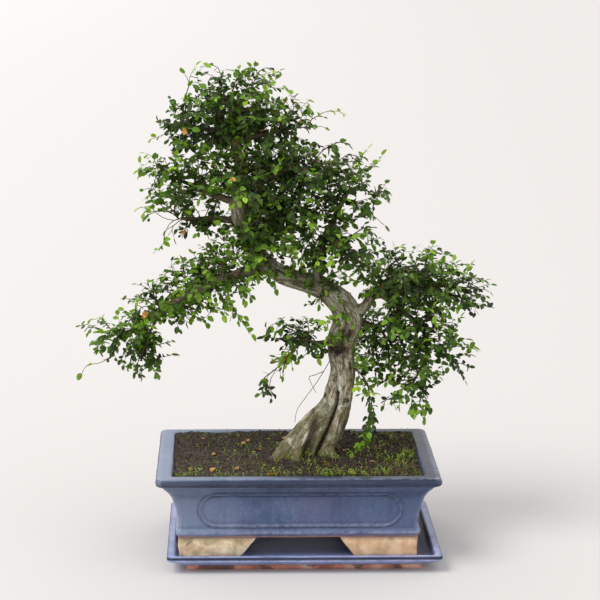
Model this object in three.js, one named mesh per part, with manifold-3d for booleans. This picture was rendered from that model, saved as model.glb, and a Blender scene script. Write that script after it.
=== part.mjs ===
// Chinese elm bonsai in a glazed pot that stands on a drip tray.
// Millimetres, +Z up, the front faces -Y. The origin is on the tray's flat underside, below the pot's centre.

import * as THREE from 'three';
import { mergeVertices } from 'three/addons/utils/BufferGeometryUtils.js';
import Module from 'manifold-3d';

const wasm = await Module();
wasm.setup();

// Clearance between neighbouring pieces, and how close two vertices are before they are one.
const GAP = 0.3;
const WELD = 1e-4;

// Pot: the outside at the rim, with the wall's profile as [distance in from the rim's edge, height].
const POT = { width: 400, depth: 280, corner: 9, height: 139 };
const POT_FLOOR = 46;
const POT_INSIDE = 57;
const POT_OUTER = [
  [31.2, POT_FLOOR],
  [29.2, 52.6],
  [28.8, 58.6],
  [31, 65.5],
  [27, 91],
  [22, 107],
  [12.5, 123.5],
  [10.5, 127],
  [1.5, 127.6],
  [0, 129.5],
  [0, 137],
  [2, POT.height],
];
const POT_INNER = [
  [48, POT_INSIDE],
  [43, POT_INSIDE + 4],
  [40, 88],
  [34, 107],
  [25, 124],
  [22, POT.height],
];
const FOOT_WALL = 24;
const ARCH = { top: 45, frontTop: 118, frontBottom: 162, sideTop: 58, sideBottom: 92 };
const PANEL = { length: 281, height: 47, x: 3, z: 88, recess: 1.6, endLength: 150, endHeight: 44 };
const DRAIN = { x: 88, radius: 12 };
const SCREEN = { size: 38, thickness: 1.2, slots: 4, bar: 3.2 };

// Drip tray: as the pot, and set a little to the right below it.
const TRAY = { width: 387.5, depth: 275, corner: 8, x: 9, height: 25.5 };
const TRAY_FLOOR = 16;
const TRAY_OUTER = [
  [27, 0],
  [27, 8],
  [19, 8.5],
  [3, 18],
  [0, 18.8],
  [0, 24.5],
  [1, TRAY.height],
];
const TRAY_INNER = [
  [15.5, TRAY_FLOOR],
  [13.5, TRAY_FLOOR + 2],
  [11, TRAY.height],
];

// Soil: its height at the pot's edge, and the mound round the trunk.
const SOIL = { edge: 132, clearance: 0.4, hole: 0.5, sidePoints: 1, clod: 0.9 };
const MOUND = { height: 8, x: 12, y: -4, reach: 80 };
const SOIL_BOTTOM = POT_INSIDE + GAP + SCREEN.thickness + GAP;
const SOIL_RINGS = [50, 80, 112];

// Wood: each line is a list of points [x, y, z, radius] on the middle of a root, trunk or limb.
const ROOT_BALL = 88;
const TRUNK_SIDES = 9;
const TRUNK_LINES = [
  // The main stem, from the soil round the bend and up to the crown.
  [
    [20, 0, ROOT_BALL, 20],
    [22, 0, 129, 22],
    [36, 0, 158, 21],
    [53, 0, 188, 20],
    [60, 0, 222, 19.5],
    [66, 2, 262, 17],
    [63, 2, 290, 18.5],
    [65, 0, 308, 21],
    [72, -2, 333, 20.5],
    [68, -4, 352, 18.5],
    [54, -5, 370, 16.5],
    [35, -4, 383, 15],
    [8, -2, 393, 13.5],
    [-18, 0, 401, 13],
    [-42, 2, 415, 13],
    [-62, 4, 440, 12.5],
    [-78, 5, 472, 12],
    [-84, 3, 505, 11],
    [-78, 0, 540, 9.5],
    [-88, -2, 590, 7.5],
    [-94, 0, 648, 4],
  ],
  // The second stem, grown on to the first on its left, with a groove between the two.
  [
    [-14, -7, ROOT_BALL, 23],
    [-10, -7, 129, 25],
    [5, -6, 156, 21.5],
    [26, -5, 186, 17],
    [43, -3, 208, 12.5],
    [55, 0, 230, 10],
  ],
];
const ROOT_SIDES = 5;
const ROOT_LINES = [
  [[-6, -14, 160, 11], [-26, -20, 140, 9], [-44, -28, 122, 5]],
  [[40, -8, 160, 10], [50, -16, 141, 8], [62, -26, 122, 4.5]],
  [[6, -14, 158, 9], [0, -30, 140, 7.5], [-4, -48, 122, 4.5]],
  [[2, 12, 158, 10], [-18, 30, 140, 8], [-34, 44, 122, 4.5]],
  [[42, 12, 162, 10], [56, 26, 141, 8], [72, 38, 122, 4.5]],
];
const LIMB_SIDES = 6;
const BRANCH_SIDES = 4;
const BRANCH_RADIUS = 5.2;
const LIMB_LINES = {
  right: [
    [70, 0, 345, 10],
    [92, -5, 356, 8],
    [106, -10, 374, 7],
    [126, -12, 379, 6],
    [170, -12, 386, 5],
    [212, -6, 388, 3.6],
  ],
  rightBack: [[112, -10, 376, 5], [138, 18, 388, 4], [168, 40, 394, 3]],
  rightDroop: [[120, -12, 378, 5], [150, -28, 356, 4.2], [176, -36, 330, 3.4], [194, -34, 304, 2.8]],
  rightLow: [[78, 6, 328, 5.5], [96, 20, 330, 4.4], [118, 26, 318, 3.4], [130, 22, 304, 2.6]],
  rightTip: [[186, -35, 318, 2.8], [180, -26, 284, 2.2], [168, -18, 250, 1.8]],
  left: [
    [-38, 2, 412, 9],
    [-70, -7, 408, 8],
    [-112, -12, 397, 6.8],
    [-154, -10, 376, 5.6],
    [-196, -6, 350, 4.4],
    [-240, -4, 322, 3],
  ],
  leftBack: [[-102, -10, 400, 4.6], [-128, 14, 392, 3.8], [-150, 34, 380, 2.8]],
  leftHang: [[-190, -6, 354, 3.4], [-206, -20, 330, 2.6], [-213, -24, 302, 2]],
  upperLeft: [[-84, 3, 508, 6.5], [-112, -4, 516, 5.4], [-140, -8, 528, 4.4], [-162, -10, 538, 3.2]],
  upperLeftLow: [[-79, 5, 480, 6], [-110, 14, 480, 5], [-142, 18, 480, 4], [-168, 18, 480, 3]],
  riser: [
    [35, -4, 384, 8],
    [26, -12, 414, 6.6],
    [34, -16, 446, 5.6],
    [48, -14, 480, 4.6],
    [64, -2, 506, 3.4],
  ],
  riserFront: [[30, -14, 430, 4.4], [44, -24, 446, 3.6], [56, -28, 456, 2.8]],
  cross: [[-80, 2, 524, 5.6], [-48, -12, 540, 4.8], [-14, -26, 552, 4], [16, -32, 558, 3]],
  crossBack: [[-80, 2, 548, 4.6], [-52, 26, 556, 3.8], [-24, 44, 560, 2.8]],
  middle: [[-78, 0, 530, 4.4], [-76, -22, 536, 3.6], [-72, -40, 540, 2.8]],
  centreLow: [[-52, 4, 430, 4.6], [-48, -16, 446, 3.8], [-42, -32, 460, 2.8]],
  centreBack: [[-66, 5, 450, 4.6], [-48, 30, 462, 3.8], [-30, 50, 474, 2.8]],
  heart: [[-80, 4, 500, 4.6], [-48, -2, 504, 3.8], [-14, -8, 508, 2.8]],
  crownLeft: [[-89, -2, 596, 4.8], [-116, -12, 608, 4], [-144, -18, 616, 2.8]],
  crownRight: [[-89, -2, 592, 4.8], [-60, -10, 602, 4], [-28, -12, 608, 2.8]],
  crownBack: [[-92, 0, 612, 4.2], [-90, 24, 622, 3.4], [-86, 46, 628, 2.6]],
  lowLeft: [[48, 0, 302, 4.4], [24, -12, 306, 3.6], [10, -16, 314, 2.8]],
  lowTwig: [[12, -15, 312, 2.4], [-6, -20, 296, 2], [-24, -20, 276, 1.6]],
  hangingTwig: [[74, -12, 270, 2.4], [94, -22, 262, 2], [103, -24, 232, 1.6]],
};

// Foliage: pads of leafy shoots. A pad's sprays start near one place on a limb, and their shoots end on an
// ellipsoid round it. Each row: limb, place along it from 0 to 1, centre, half sizes, sprays, shoots a spray.
const PADS = {
  crown_top: ['main', 1, [-84, 0, 656], [78, 72, 54], 2, 4],
  crown_left: ['crownLeft', 1, [-143, -19, 625], [68, 62, 56], 2, 4],
  crown_right: ['crownRight', 1, [-34, -12, 618], [72, 62, 54], 2, 4],
  crown_back: ['crownBack', 1, [-85, 55, 617], [72, 54, 56], 2, 4],
  upper_left: ['upperLeft', 1, [-154, -14, 548], [74, 66, 54], 2, 4],
  upper_left_low: ['upperLeftLow', 1, [-160, 18, 492], [68, 60, 46], 2, 3],
  middle: ['middle', 1, [-72, -44, 546], [66, 60, 54], 2, 4],
  middle_right: ['cross', 1, [20, -34, 562], [72, 62, 50], 2, 4],
  middle_back: ['crossBack', 1, [-22, 48, 552], [70, 60, 56], 2, 3],
  heart: ['heart', 1, [-8, -10, 508], [66, 60, 50], 2, 4],
  riser_top: ['riser', 1, [68, 2, 522], [70, 68, 54], 2, 4],
  riser_front: ['riserFront', 1, [62, -30, 446], [68, 62, 54], 2, 4],
  centre_low: ['centreLow', 1, [-44, -34, 468], [72, 62, 52], 2, 4],
  centre_back: ['centreBack', 1, [-30, 54, 478], [72, 60, 54], 2, 3],
  left_near: ['left', 0.36, [-108, -22, 410], [68, 66, 50], 2, 4],
  left_middle: ['left', 0.74, [-186, -8, 358], [66, 64, 46], 2, 4],
  left_end: ['left', 1, [-250, -4, 306], [70, 58, 48], 2, 3],
  left_back: ['leftBack', 1, [-148, 42, 380], [66, 58, 48], 2, 3],
  left_hang: ['leftHang', 1, [-214, -26, 288], [38, 40, 46], 1, 3],
  right_near: ['right', 0.66, [148, -20, 398], [66, 62, 48], 2, 3],
  right_end: ['right', 1, [222, -4, 374], [70, 62, 52], 2, 4],
  right_back: ['rightBack', 1, [174, 48, 388], [68, 58, 54], 2, 3],
  right_middle: ['rightDroop', 0.46, [164, -36, 340], [60, 56, 50], 2, 4],
  right_droop: ['rightDroop', 1, [200, -34, 302], [58, 58, 60], 2, 4],
  right_low: ['rightLow', 1, [130, 22, 296], [64, 60, 64], 2, 4],
  right_tip: ['rightTip', 1, [160, -16, 242], [54, 48, 48], 1, 3],
  low_left: ['lowLeft', 1, [2, -16, 318], [54, 52, 36], 1, 4],
  low_twig: ['lowTwig', 1, [-42, -20, 244], [10, 22, 24], 1, 2],
  hanging: ['hangingTwig', 1, [107, -23, 189], [14, 16, 26], 1, 2],
};

// Leafy shoots: leaves stand by turns on both sides of a thin stalk, in one arched and twisted blade.
const LEAF = {
  length: 35,
  width: 16.4,
  widest: 0.45,
  angle: 60,
  spacing: 11,
  first: 11,
  endClear: 4,
  thickness: 0.8,
  stalk: 0.8,
  neck: 1.6,
};
const LEAF_SPREAD = { angle: 6, shortest: 0.88, length: 0.2 };
const SHOOT = {
  shortest: 49,
  longest: 96,
  arch: 0.01,
  rise: 0.14,
  twist: 50,
  tilt: 55,
  tiltSpread: 50,
  levels: [46, -26, 8],
};
const TWIG = {
  radius: 1.6,
  tip: 1.1,
  sides: 4,
  shortest: 6,
  share: 0.26,
  start: 0.5,
  apart: 26,
  firstFork: 0.06,
  forkStep: 0.28,
};

// A twig or a shoot that would touch another piece tries again: a twig a little further out and to one side,
// a shoot rolled over and a little to one side.
const TRIES = 60;
const TWIG_TRY = { stray: 0.05, out: 0.05 };
const SHOOT_TRY = { stray: 2.2, roll: 137 };

const COLOURS = {
  glaze: 0x46597d,
  trayGlaze: 0x4a5a8a,
  soil: 0x2c221c,
  screen: 0x202020,
  bark: 0x857a68,
  leaf: 0x3f6a2a,
};

const bonsai = new THREE.Group();

// A closed three.js geometry as a solid.
function solidOf(geometry) {
  const bare = new THREE.BufferGeometry();
  bare.setAttribute('position', geometry.getAttribute('position'));
  bare.setIndex(geometry.index);
  const welded = mergeVertices(bare, WELD);
  return new wasm.Manifold(new wasm.Mesh({
    numProp: 3,
    vertProperties: new Float32Array(welded.getAttribute('position').array),
    triVerts: new Uint32Array(welded.index.array),
  }));
}

function joined(solids) {
  return solids.reduce((whole, solid) => whole.add(solid));
}

function addPiece(name, solid, colour, roughness) {
  const { vertProperties, triVerts } = solid.getMesh();
  const geometry = new THREE.BufferGeometry();
  geometry.setAttribute('position', new THREE.BufferAttribute(new Float32Array(vertProperties), 3));
  geometry.setIndex(new THREE.BufferAttribute(new Uint32Array(triVerts), 1));
  geometry.computeVertexNormals();
  const mesh = new THREE.Mesh(geometry, new THREE.MeshStandardMaterial({ color: colour, roughness }));
  mesh.name = name;
  bonsai.add(mesh);
}

// A closed cylinder whose points a rule puts in place, by ring and side. The cap centres have no side.
function bentCylinder(sides, rings, place) {
  const geometry = new THREE.CylinderGeometry(1, 1, 1, sides, rings - 1);
  const position = geometry.getAttribute('position');
  for (let i = 0; i < position.count; i += 1) {
    const ring = Math.round((position.getY(i) + 0.5) * (rings - 1));
    const isCentre = Math.hypot(position.getX(i), position.getZ(i)) < 0.5;
    const turn = Math.atan2(position.getX(i), position.getZ(i)) / (2 * Math.PI);
    const side = isCentre ? null : (Math.round(turn * sides) + sides) % sides;
    const point = place(ring, side);
    position.setXYZ(i, point.x, point.y, point.z);
  }
  return solidOf(geometry);
}

// The points of a rectangle with round corners, all the way round.
function rectangle(halfWidth, halfDepth, corner, cornerSteps, sidePoints) {
  const signs = [[1, 1], [-1, 1], [-1, -1], [1, -1]];
  const arcs = signs.map(([sx, sy], k) => {
    const centre = new THREE.Vector2(sx * (halfWidth - corner), sy * (halfDepth - corner));
    return Array.from({ length: cornerSteps + 1 }, (_, step) => {
      const angle = (k + step / cornerSteps) * Math.PI / 2;
      return centre.clone().add(new THREE.Vector2(Math.cos(angle), Math.sin(angle)).multiplyScalar(corner));
    });
  });
  return arcs.flatMap((arc, k) => {
    const from = arc[cornerSteps];
    const to = arcs[(k + 1) % 4][0];
    const shares = Array.from({ length: sidePoints }, (_, i) => (i + 1) / (sidePoints + 1));
    return [...arc, ...shares.map((share) => from.clone().lerp(to, share))];
  });
}

// A cylinder pressed into rectangles. Each row of the profile is [distance in from the edge, height].
function pressed(size, profile, { cornerSteps = 2, sidePoints = 0, height = (x, y, z) => z } = {}) {
  const sections = profile.map(([inset]) => rectangle(
    size.width / 2 - inset,
    size.depth / 2 - inset,
    size.corner * Math.max(0.4, 1 - inset / 80),
    cornerSteps,
    sidePoints,
  ));
  return bentCylinder(4 * (cornerSteps + 1 + sidePoints), profile.length, (ring, side) => {
    const { x, y } = side === null ? new THREE.Vector2() : sections[ring][side];
    return new THREE.Vector3(x + (size.x ?? 0), y, height(x, y, profile[ring][1], ring));
  });
}

// A flat shape drawn in X and Z, and pushed along Y.
function slab(shape, from, to) {
  const options = { depth: to - from, bevelEnabled: false, curveSegments: 4 };
  const geometry = new THREE.ExtrudeGeometry(shape, options);
  geometry.rotateX(Math.PI / 2);
  geometry.translate(0, to, 0);
  return solidOf(geometry);
}

function archShape(top, bottom) {
  const below = TRAY_FLOOR - 2;
  const shape = new THREE.Shape();
  shape.moveTo(-bottom / 2, below);
  shape.lineTo(bottom / 2, below);
  shape.lineTo(bottom / 2, TRAY_FLOOR + 1);
  shape.lineTo(top / 2, ARCH.top);
  shape.lineTo(-top / 2, ARCH.top);
  shape.lineTo(-bottom / 2, TRAY_FLOOR + 1);
  return shape;
}

function panelShape(x, length, height) {
  const radius = height / 2;
  const straight = length / 2 - radius;
  const shape = new THREE.Shape();
  shape.absarc(x + straight, PANEL.z, radius, -Math.PI / 2, Math.PI / 2, false);
  shape.absarc(x - straight, PANEL.z, radius, Math.PI / 2, Math.PI * 1.5, false);
  return shape;
}

function upCylinder(x, radius, from, to) {
  const geometry = new THREE.CylinderGeometry(radius, radius, to - from, 12);
  geometry.rotateX(Math.PI / 2);
  geometry.translate(x, 0, (from + to) / 2);
  return solidOf(geometry);
}

// Pot: body and feet, less the panels on its four sides, the arches between the feet and the drain holes.
function makePot() {
  const above = POT.height + 2;
  const footTop = POT_FLOOR + 1;
  const footBottom = TRAY_FLOOR + GAP;
  const footInset = POT_OUTER[0][0];
  const body = pressed(POT, POT_OUTER);
  const hollow = pressed(POT, [...POT_INNER, [POT_INNER.at(-1)[0] - 2, above]], { cornerSteps: 1 });
  const foot = pressed(POT, [[footInset, footBottom], [footInset - 0.2, footTop]]);
  const footInner = footInset + FOOT_WALL;
  const footHole = pressed(POT, [[footInner, footBottom - 1], [footInner, POT_FLOOR]]);
  const shrunk = pressed(POT, POT_OUTER.map(([inset, z]) => [inset + PANEL.recess, z]));
  const longPanel = panelShape(PANEL.x, PANEL.length, PANEL.height);
  const endPanel = panelShape(0, PANEL.endLength, PANEL.endHeight);
  const reach = POT.width;
  const panels = joined([
    slab(longPanel, -reach, reach),
    slab(endPanel, -reach, reach).rotate([0, 0, 90]),
  ]).subtract(shrunk);
  const arches = joined([
    slab(archShape(ARCH.frontTop, ARCH.frontBottom), -reach, reach),
    slab(archShape(ARCH.sideTop, ARCH.sideBottom), -reach, reach).rotate([0, 0, 90]),
  ]);
  const drains = joined([-DRAIN.x, DRAIN.x].map((x) => {
    return upCylinder(x, DRAIN.radius, POT_FLOOR - 5, POT_INSIDE + 5);
  }));
  return body
    .add(foot.subtract(footHole).subtract(arches))
    .subtract(hollow)
    .subtract(panels)
    .subtract(drains);
}

function makeTray() {
  const above = TRAY.height + 2;
  return pressed(TRAY, TRAY_OUTER)
    .subtract(pressed(TRAY, [...TRAY_INNER, [TRAY_INNER.at(-1)[0] - 2, above]]));
}

function box(width, depth, height, x, y, z) {
  return solidOf(new THREE.BoxGeometry(width, depth, height).translate(x, y, z));
}

// A square screen of plastic bars over a drain hole.
function makeScreen(x) {
  const middle = POT_INSIDE + GAP + SCREEN.thickness / 2;
  const pitch = (SCREEN.size - SCREEN.bar) / SCREEN.slots;
  let screen = box(SCREEN.size, SCREEN.size, SCREEN.thickness, x, 0, middle);
  for (let slot = 0; slot < SCREEN.slots; slot += 1) {
    const slotX = x + (slot - (SCREEN.slots - 1) / 2) * pitch;
    const length = SCREEN.size - 2 * SCREEN.bar;
    screen = screen.subtract(box(pitch - SCREEN.bar, length, 2 * SCREEN.thickness, slotX, 0, middle));
  }
  return screen;
}

function soilHeight(x, y) {
  const away = ((x - MOUND.x) ** 2 + (y - MOUND.y) ** 2) / MOUND.reach ** 2;
  const clods = Math.sin(x * 0.11 + 1.3) * Math.cos(y * 0.13) + Math.sin(x * 0.05 + y * 0.09);
  return SOIL.edge + MOUND.height * Math.exp(-away) + SOIL.clod * clods;
}

// Soil: fills the pot, with the plain hole that the stump and the roots stand in.
function makeSoil() {
  const wall = POT_INNER.slice(2, 5).map(([inset, z]) => [inset + SOIL.clearance, z]);
  const profile = [
    [POT_INNER[0][0], SOIL_BOTTOM],
    [POT_INNER[1][0] + SOIL.clearance, POT_INNER[1][1]],
    ...wall,
    [POT_INNER.at(-1)[0] + 2 + SOIL.clearance, SOIL.edge],
    ...SOIL_RINGS.map((inset) => [inset, SOIL.edge]),
  ];
  const edgeRing = wall.length + 2;
  const height = (x, y, z, ring) => (ring < edgeRing ? z : soilHeight(x, y));
  return pressed(POT, profile, { cornerSteps: 1, sidePoints: SOIL.sidePoints, height })
    .subtract(makeStump(SOIL.hole));
}

// Sections along a smooth line through rows of [x, y, z, radius], each with two directions across it.
function sectionsAlong(rows, steps) {
  const points = rows.map(([x, y, z]) => new THREE.Vector3(x, y, z));
  const middle = new THREE.CatmullRomCurve3(points, false, 'catmullrom');
  const last = (rows.length - 1) * steps;
  const sections = [];
  for (let i = 0; i <= last; i += 1) {
    const along = middle.getTangent(i / last);
    const steady = Math.abs(along.y) < 0.8 ? new THREE.Vector3(0, 1, 0) : new THREE.Vector3(1, 0, 0);
    const before = i === 0 ? steady : sections[i - 1].side;
    const side = before.clone().addScaledVector(along, -before.dot(along)).normalize();
    const row = Math.min(Math.floor(i / steps), rows.length - 2);
    const radius = THREE.MathUtils.lerp(rows[row][3], rows[row + 1][3], i / steps - row);
    sections.push({ centre: middle.getPoint(i / last), side, across: along.clone().cross(side), radius });
  }
  return sections;
}

function woodSolid(rows, sides, steps, grow = 0) {
  const sections = sectionsAlong(rows, steps);
  return bentCylinder(sides, sections.length, (ring, corner) => {
    const { centre, side, across, radius } = sections[ring];
    if (corner === null) {
      return centre;
    }
    const angle = corner / sides * 2 * Math.PI;
    return centre.clone()
      .addScaledVector(side, Math.cos(angle) * (radius + grow))
      .addScaledVector(across, Math.sin(angle) * (radius + grow));
  });
}

function makeStump(grow) {
  return joined([
    ...TRUNK_LINES.map((rows) => woodSolid(rows, TRUNK_SIDES, 1, grow)),
    ...ROOT_LINES.map((rows) => woodSolid(rows, ROOT_SIDES, 1, grow)),
  ]);
}

function makeTrunk() {
  const limbs = Object.values(LIMB_LINES).map((rows) => {
    const sides = rows[0][3] > BRANCH_RADIUS ? LIMB_SIDES : BRANCH_SIDES;
    return woodSolid(rows, sides, 1);
  });
  return makeStump(0).add(joined(limbs));
}

// Seeded random numbers from 0 to 1.
function seeded(seed) {
  let state = seed >>> 0;
  return () => {
    state = (state + 0x6d2b79f5) >>> 0;
    let mix = Math.imul(state ^ (state >>> 15), state | 1);
    mix ^= mix + Math.imul(mix ^ (mix >>> 7), mix | 61);
    return ((mix ^ (mix >>> 14)) >>> 0) / 4294967296;
  };
}

// A leafy shoot laid flat, from its foot at the left to the tip of its end leaf: its points, the ring that
// they make round it, and its triangles. Each leaf has three, and a strip runs along the stalk between them.
function shootOutline(length, random) {
  const points = [];
  const put = (x, y) => points.push(new THREE.Vector2(x, y)) - 1;
  const stalkEnd = length - LEAF.length;
  const endBelly = stalkEnd + LEAF.length * LEAF.widest;
  const edges = { 1: [put(0, LEAF.stalk)], [-1]: [put(0, -LEAF.stalk)] };
  const rims = { 1: [...edges[1]], [-1]: [...edges[-1]] };
  const triangles = [];
  let turn = random() < 0.5 ? 1 : -1;
  for (let u = LEAF.first; u < stalkEnd - LEAF.endClear; u += LEAF.spacing) {
    const angle = THREE.MathUtils.degToRad(LEAF.angle + (random() - 0.5) * LEAF_SPREAD.angle);
    const long = LEAF.length * (LEAF_SPREAD.shortest + LEAF_SPREAD.length * random());
    const root = new THREE.Vector2(u, LEAF.stalk);
    const along = new THREE.Vector2(Math.cos(angle), Math.sin(angle));
    const wide = new THREE.Vector2(-along.y, along.x).multiplyScalar(LEAF.width / 2);
    const belly = root.clone().addScaledVector(along, long * LEAF.widest);
    const corners = [
      new THREE.Vector2(u - LEAF.neck / 2, LEAF.stalk),
      belly.clone().add(wide),
      root.clone().addScaledVector(along, long),
      belly.clone().sub(wide),
      new THREE.Vector2(u + LEAF.neck / 2, LEAF.stalk),
    ];
    const [start, left, tip, right, end] = corners.map(({ x, y }) => put(x, y * turn));
    triangles.push([start, left, end], [end, left, right], [left, tip, right]);
    edges[turn].push(start, end);
    rims[turn].push(start, left, tip, right, end);
    turn = -turn;
  }
  const tip = put(length, 0);
  for (const side of [1, -1]) {
    const belly = put(endBelly, side * LEAF.width / 2);
    edges[side].push(belly);
    rims[side].push(belly);
  }
  const reached = { 1: 0, [-1]: 0 };
  const at = (side, step) => points[edges[side][reached[side] + step]]?.x ?? Infinity;
  while (Math.min(at(1, 1), at(-1, 1)) < Infinity) {
    const side = (at(1, 1) - at(-1, 1) || at(1, 0) - at(-1, 0)) < 0 ? 1 : -1;
    triangles.push([edges[1][reached[1]], edges[-1][reached[-1]], edges[side][reached[side] + 1]]);
    reached[side] += 1;
  }
  triangles.push([edges[1].at(-1), edges[-1].at(-1), tip]);
  return { points, ring: [...rims[-1], tip, ...rims[1].reverse()], triangles };
}

// A flat outline pushed along Z, with the same triangles on both faces.
function bladeGeometry({ points, ring, triangles }, depth) {
  const count = points.length;
  const geometry = new THREE.BufferGeometry().setFromPoints([
    ...points.map(({ x, y }) => new THREE.Vector3(x, y, 0)),
    ...points.map(({ x, y }) => new THREE.Vector3(x, y, depth)),
  ]);
  const faces = triangles.flatMap(([a, b, c]) => {
    const [p, q] = THREE.ShapeUtils.area([points[a], points[b], points[c]]) > 0 ? [b, c] : [c, b];
    return [a + count, p + count, q + count, a, q, p];
  });
  const walls = ring.flatMap((a, i) => {
    const b = ring[(i + 1) % ring.length];
    return [a, b, b + count, a, b + count, a + count];
  });
  return geometry.setIndex([...faces, ...walls]);
}

// A leafy shoot between two points, rolled about its stalk. Extra thickness gives the room that it needs.
function shootSolid(from, to, roll, random, extra = 0) {
  const length = from.distanceTo(to);
  const depth = LEAF.thickness + extra;
  const crest = from.clone().lerp(to, 0.5);
  crest.z += SHOOT.rise * length;
  const stalk = new THREE.QuadraticBezierCurve3(from, crest, to);
  const geometry = bladeGeometry(shootOutline(length, random), depth);
  const position = geometry.getAttribute('position');
  for (let i = 0; i < position.count; i += 1) {
    const u = position.getX(i) / length;
    const v = position.getY(i);
    const along = stalk.getTangent(u);
    const level = Math.abs(along.z) < 0.95 ? new THREE.Vector3(0, 0, 1) : new THREE.Vector3(0, 1, 0);
    const angle = THREE.MathUtils.degToRad(roll + SHOOT.twist * (u - 0.5));
    const side = level.cross(along).normalize().applyAxisAngle(along, angle);
    const lift = position.getZ(i) - depth / 2 - SHOOT.arch * v * v;
    const face = along.clone().cross(side);
    const point = stalk.getPoint(u).addScaledVector(side, v).addScaledVector(face, lift);
    position.setXYZ(i, point.x, point.y, point.z);
  }
  return solidOf(geometry);
}

function touches(solid, others) {
  const { min, max } = solid.boundingBox();
  return others.some((other) => {
    const box = other.boundingBox();
    const apart = [0, 1, 2].some((axis) => box.min[axis] > max[axis] || box.max[axis] < min[axis]);
    return !apart && !solid.intersect(other).isEmpty();
  });
}

// The tips of a pad's shoots, spread round its ellipsoid at several levels, the first ones facing outward.
function padTips(centre, half, count, outward) {
  return Array.from({ length: count }, (_, i) => {
    const azimuth = outward + 2 * Math.PI * ((i + 0.5) / count - 0.25);
    const rise = THREE.MathUtils.degToRad(SHOOT.levels[i % SHOOT.levels.length]);
    return new THREE.Vector3(
      centre[0] + half[0] * Math.cos(rise) * Math.cos(azimuth),
      centre[1] + half[1] * Math.cos(rise) * Math.sin(azimuth),
      centre[2] + half[2] * Math.sin(rise),
    );
  });
}

// One spray: a twig that starts beside its limb and forks into leafy shoots, clear of what has grown before.
// A shoot that finds no room is left out.
function makeSpray(hub, tips, seed, grown) {
  const random = seeded(seed);
  const astray = (amount) => new THREE.Vector3(random() - 0.5, random() - 0.5, random() - 0.5)
    .multiplyScalar(amount);
  const aim = tips.reduce((sum, tip) => sum.add(tip), new THREE.Vector3()).divideScalar(tips.length);
  const out = aim.sub(hub.centre);
  let twig = null;
  let start = null;
  let fork = null;
  for (let attempt = 0; twig === null; attempt += 1) {
    if (attempt === TRIES) {
      throw new Error(`no room for the twig of spray ${seed}`);
    }
    const heading = out.clone().normalize().add(astray(TWIG_TRY.stray * attempt)).normalize();
    const near = hub.radius + TWIG.start + TWIG_TRY.out * attempt;
    start = hub.centre.clone().addScaledVector(heading, near);
    fork = start.clone().addScaledVector(heading, TWIG.shortest + TWIG.share * out.length());
    const rows = [[...start.toArray(), TWIG.radius], [...fork.toArray(), TWIG.tip]];
    if (!touches(woodSolid(rows, TWIG.sides, 1, GAP), grown)) {
      twig = woodSolid(rows, TWIG.sides, 1);
    }
  }
  const shoots = tips.map((tip, i) => {
    const foot = fork.clone().lerp(start, TWIG.firstFork + TWIG.forkStep * i);
    const tilt = i % 2 === 0 ? SHOOT.tilt : -SHOOT.tilt;
    for (let attempt = 0; attempt < TRIES; attempt += 1) {
      const reach = tip.clone().add(astray(SHOOT_TRY.stray * attempt)).sub(foot);
      reach.clampLength(SHOOT.shortest, SHOOT.longest);
      const roll = tilt + (random() - 0.5) * SHOOT.tiltSpread + SHOOT_TRY.roll * attempt;
      const shapeSeed = seed * 100 + attempt * 7 + i;
      const end = foot.clone().add(reach);
      if (!touches(shootSolid(foot, end, roll, seeded(shapeSeed), 2 * GAP), grown)) {
        return shootSolid(foot, end, roll, seeded(shapeSeed));
      }
    }
    return null;
  });
  return joined([twig, ...shoots.filter((shoot) => shoot !== null)]);
}

// Where a twig can start: a point on the middle of a limb, and the limb's radius and direction there.
function placeOn(rows, fraction, back) {
  const sections = sectionsAlong(rows, 1);
  const spans = sections.slice(1).map(({ centre }, i) => centre.distanceTo(sections[i].centre));
  const length = spans.reduce((sum, span) => sum + span);
  let rest = Math.max(0, fraction * length - back);
  let span = 0;
  while (span < spans.length - 1 && rest > spans[span]) {
    rest -= spans[span];
    span += 1;
  }
  const share = Math.min(1, rest / spans[span]);
  const [from, to] = [sections[span], sections[span + 1]];
  return {
    centre: from.centre.clone().lerp(to.centre, share),
    radius: THREE.MathUtils.lerp(from.radius, to.radius, share),
    along: to.centre.clone().sub(from.centre).normalize(),
  };
}

// Each pad's sprays, which share its tips between them.
function addFoliage(grown) {
  const lines = { main: TRUNK_LINES[0], ...LIMB_LINES };
  Object.entries(PADS).forEach(([name, [limb, place, centre, half, sprays, shoots]], pad) => {
    const { along } = placeOn(lines[limb], place, 0);
    const tips = padTips(centre, half, sprays * shoots, Math.atan2(along.y, along.x));
    for (let spray = 0; spray < sprays; spray += 1) {
      const own = tips.slice(spray * shoots, (spray + 1) * shoots);
      const hub = placeOn(lines[limb], place, spray * TWIG.apart);
      const solid = makeSpray(hub, own, 1 + pad * 10 + spray, grown);
      grown.push(solid);
      addPiece(sprays > 1 ? `spray_${name}_${spray + 1}` : `spray_${name}`, solid, COLOURS.leaf, 0.6);
    }
  });
}

const pot = makePot();
const soil = makeSoil();
const trunk = makeTrunk();
addPiece('pot', pot, COLOURS.glaze, 0.3);
addPiece('tray', makeTray(), COLOURS.trayGlaze, 0.3);
addPiece('soil', soil, COLOURS.soil, 0.95);
addPiece('drain_screen_left', makeScreen(-DRAIN.x), COLOURS.screen, 0.6);
addPiece('drain_screen_right', makeScreen(DRAIN.x), COLOURS.screen, 0.6);
addPiece('trunk', trunk, COLOURS.bark, 0.85);
addFoliage([trunk, pot, soil]);

export default bonsai;
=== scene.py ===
# Chinese elm bonsai in a glazed pot on a drip tray.
# Lengths are in millimetres until a mesh is made. +Z is up, the front faces -Y.

import math

import bpy
import numpy as np
from mathutils import Matrix, Vector
from mathutils.geometry import tessellate_polygon


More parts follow.
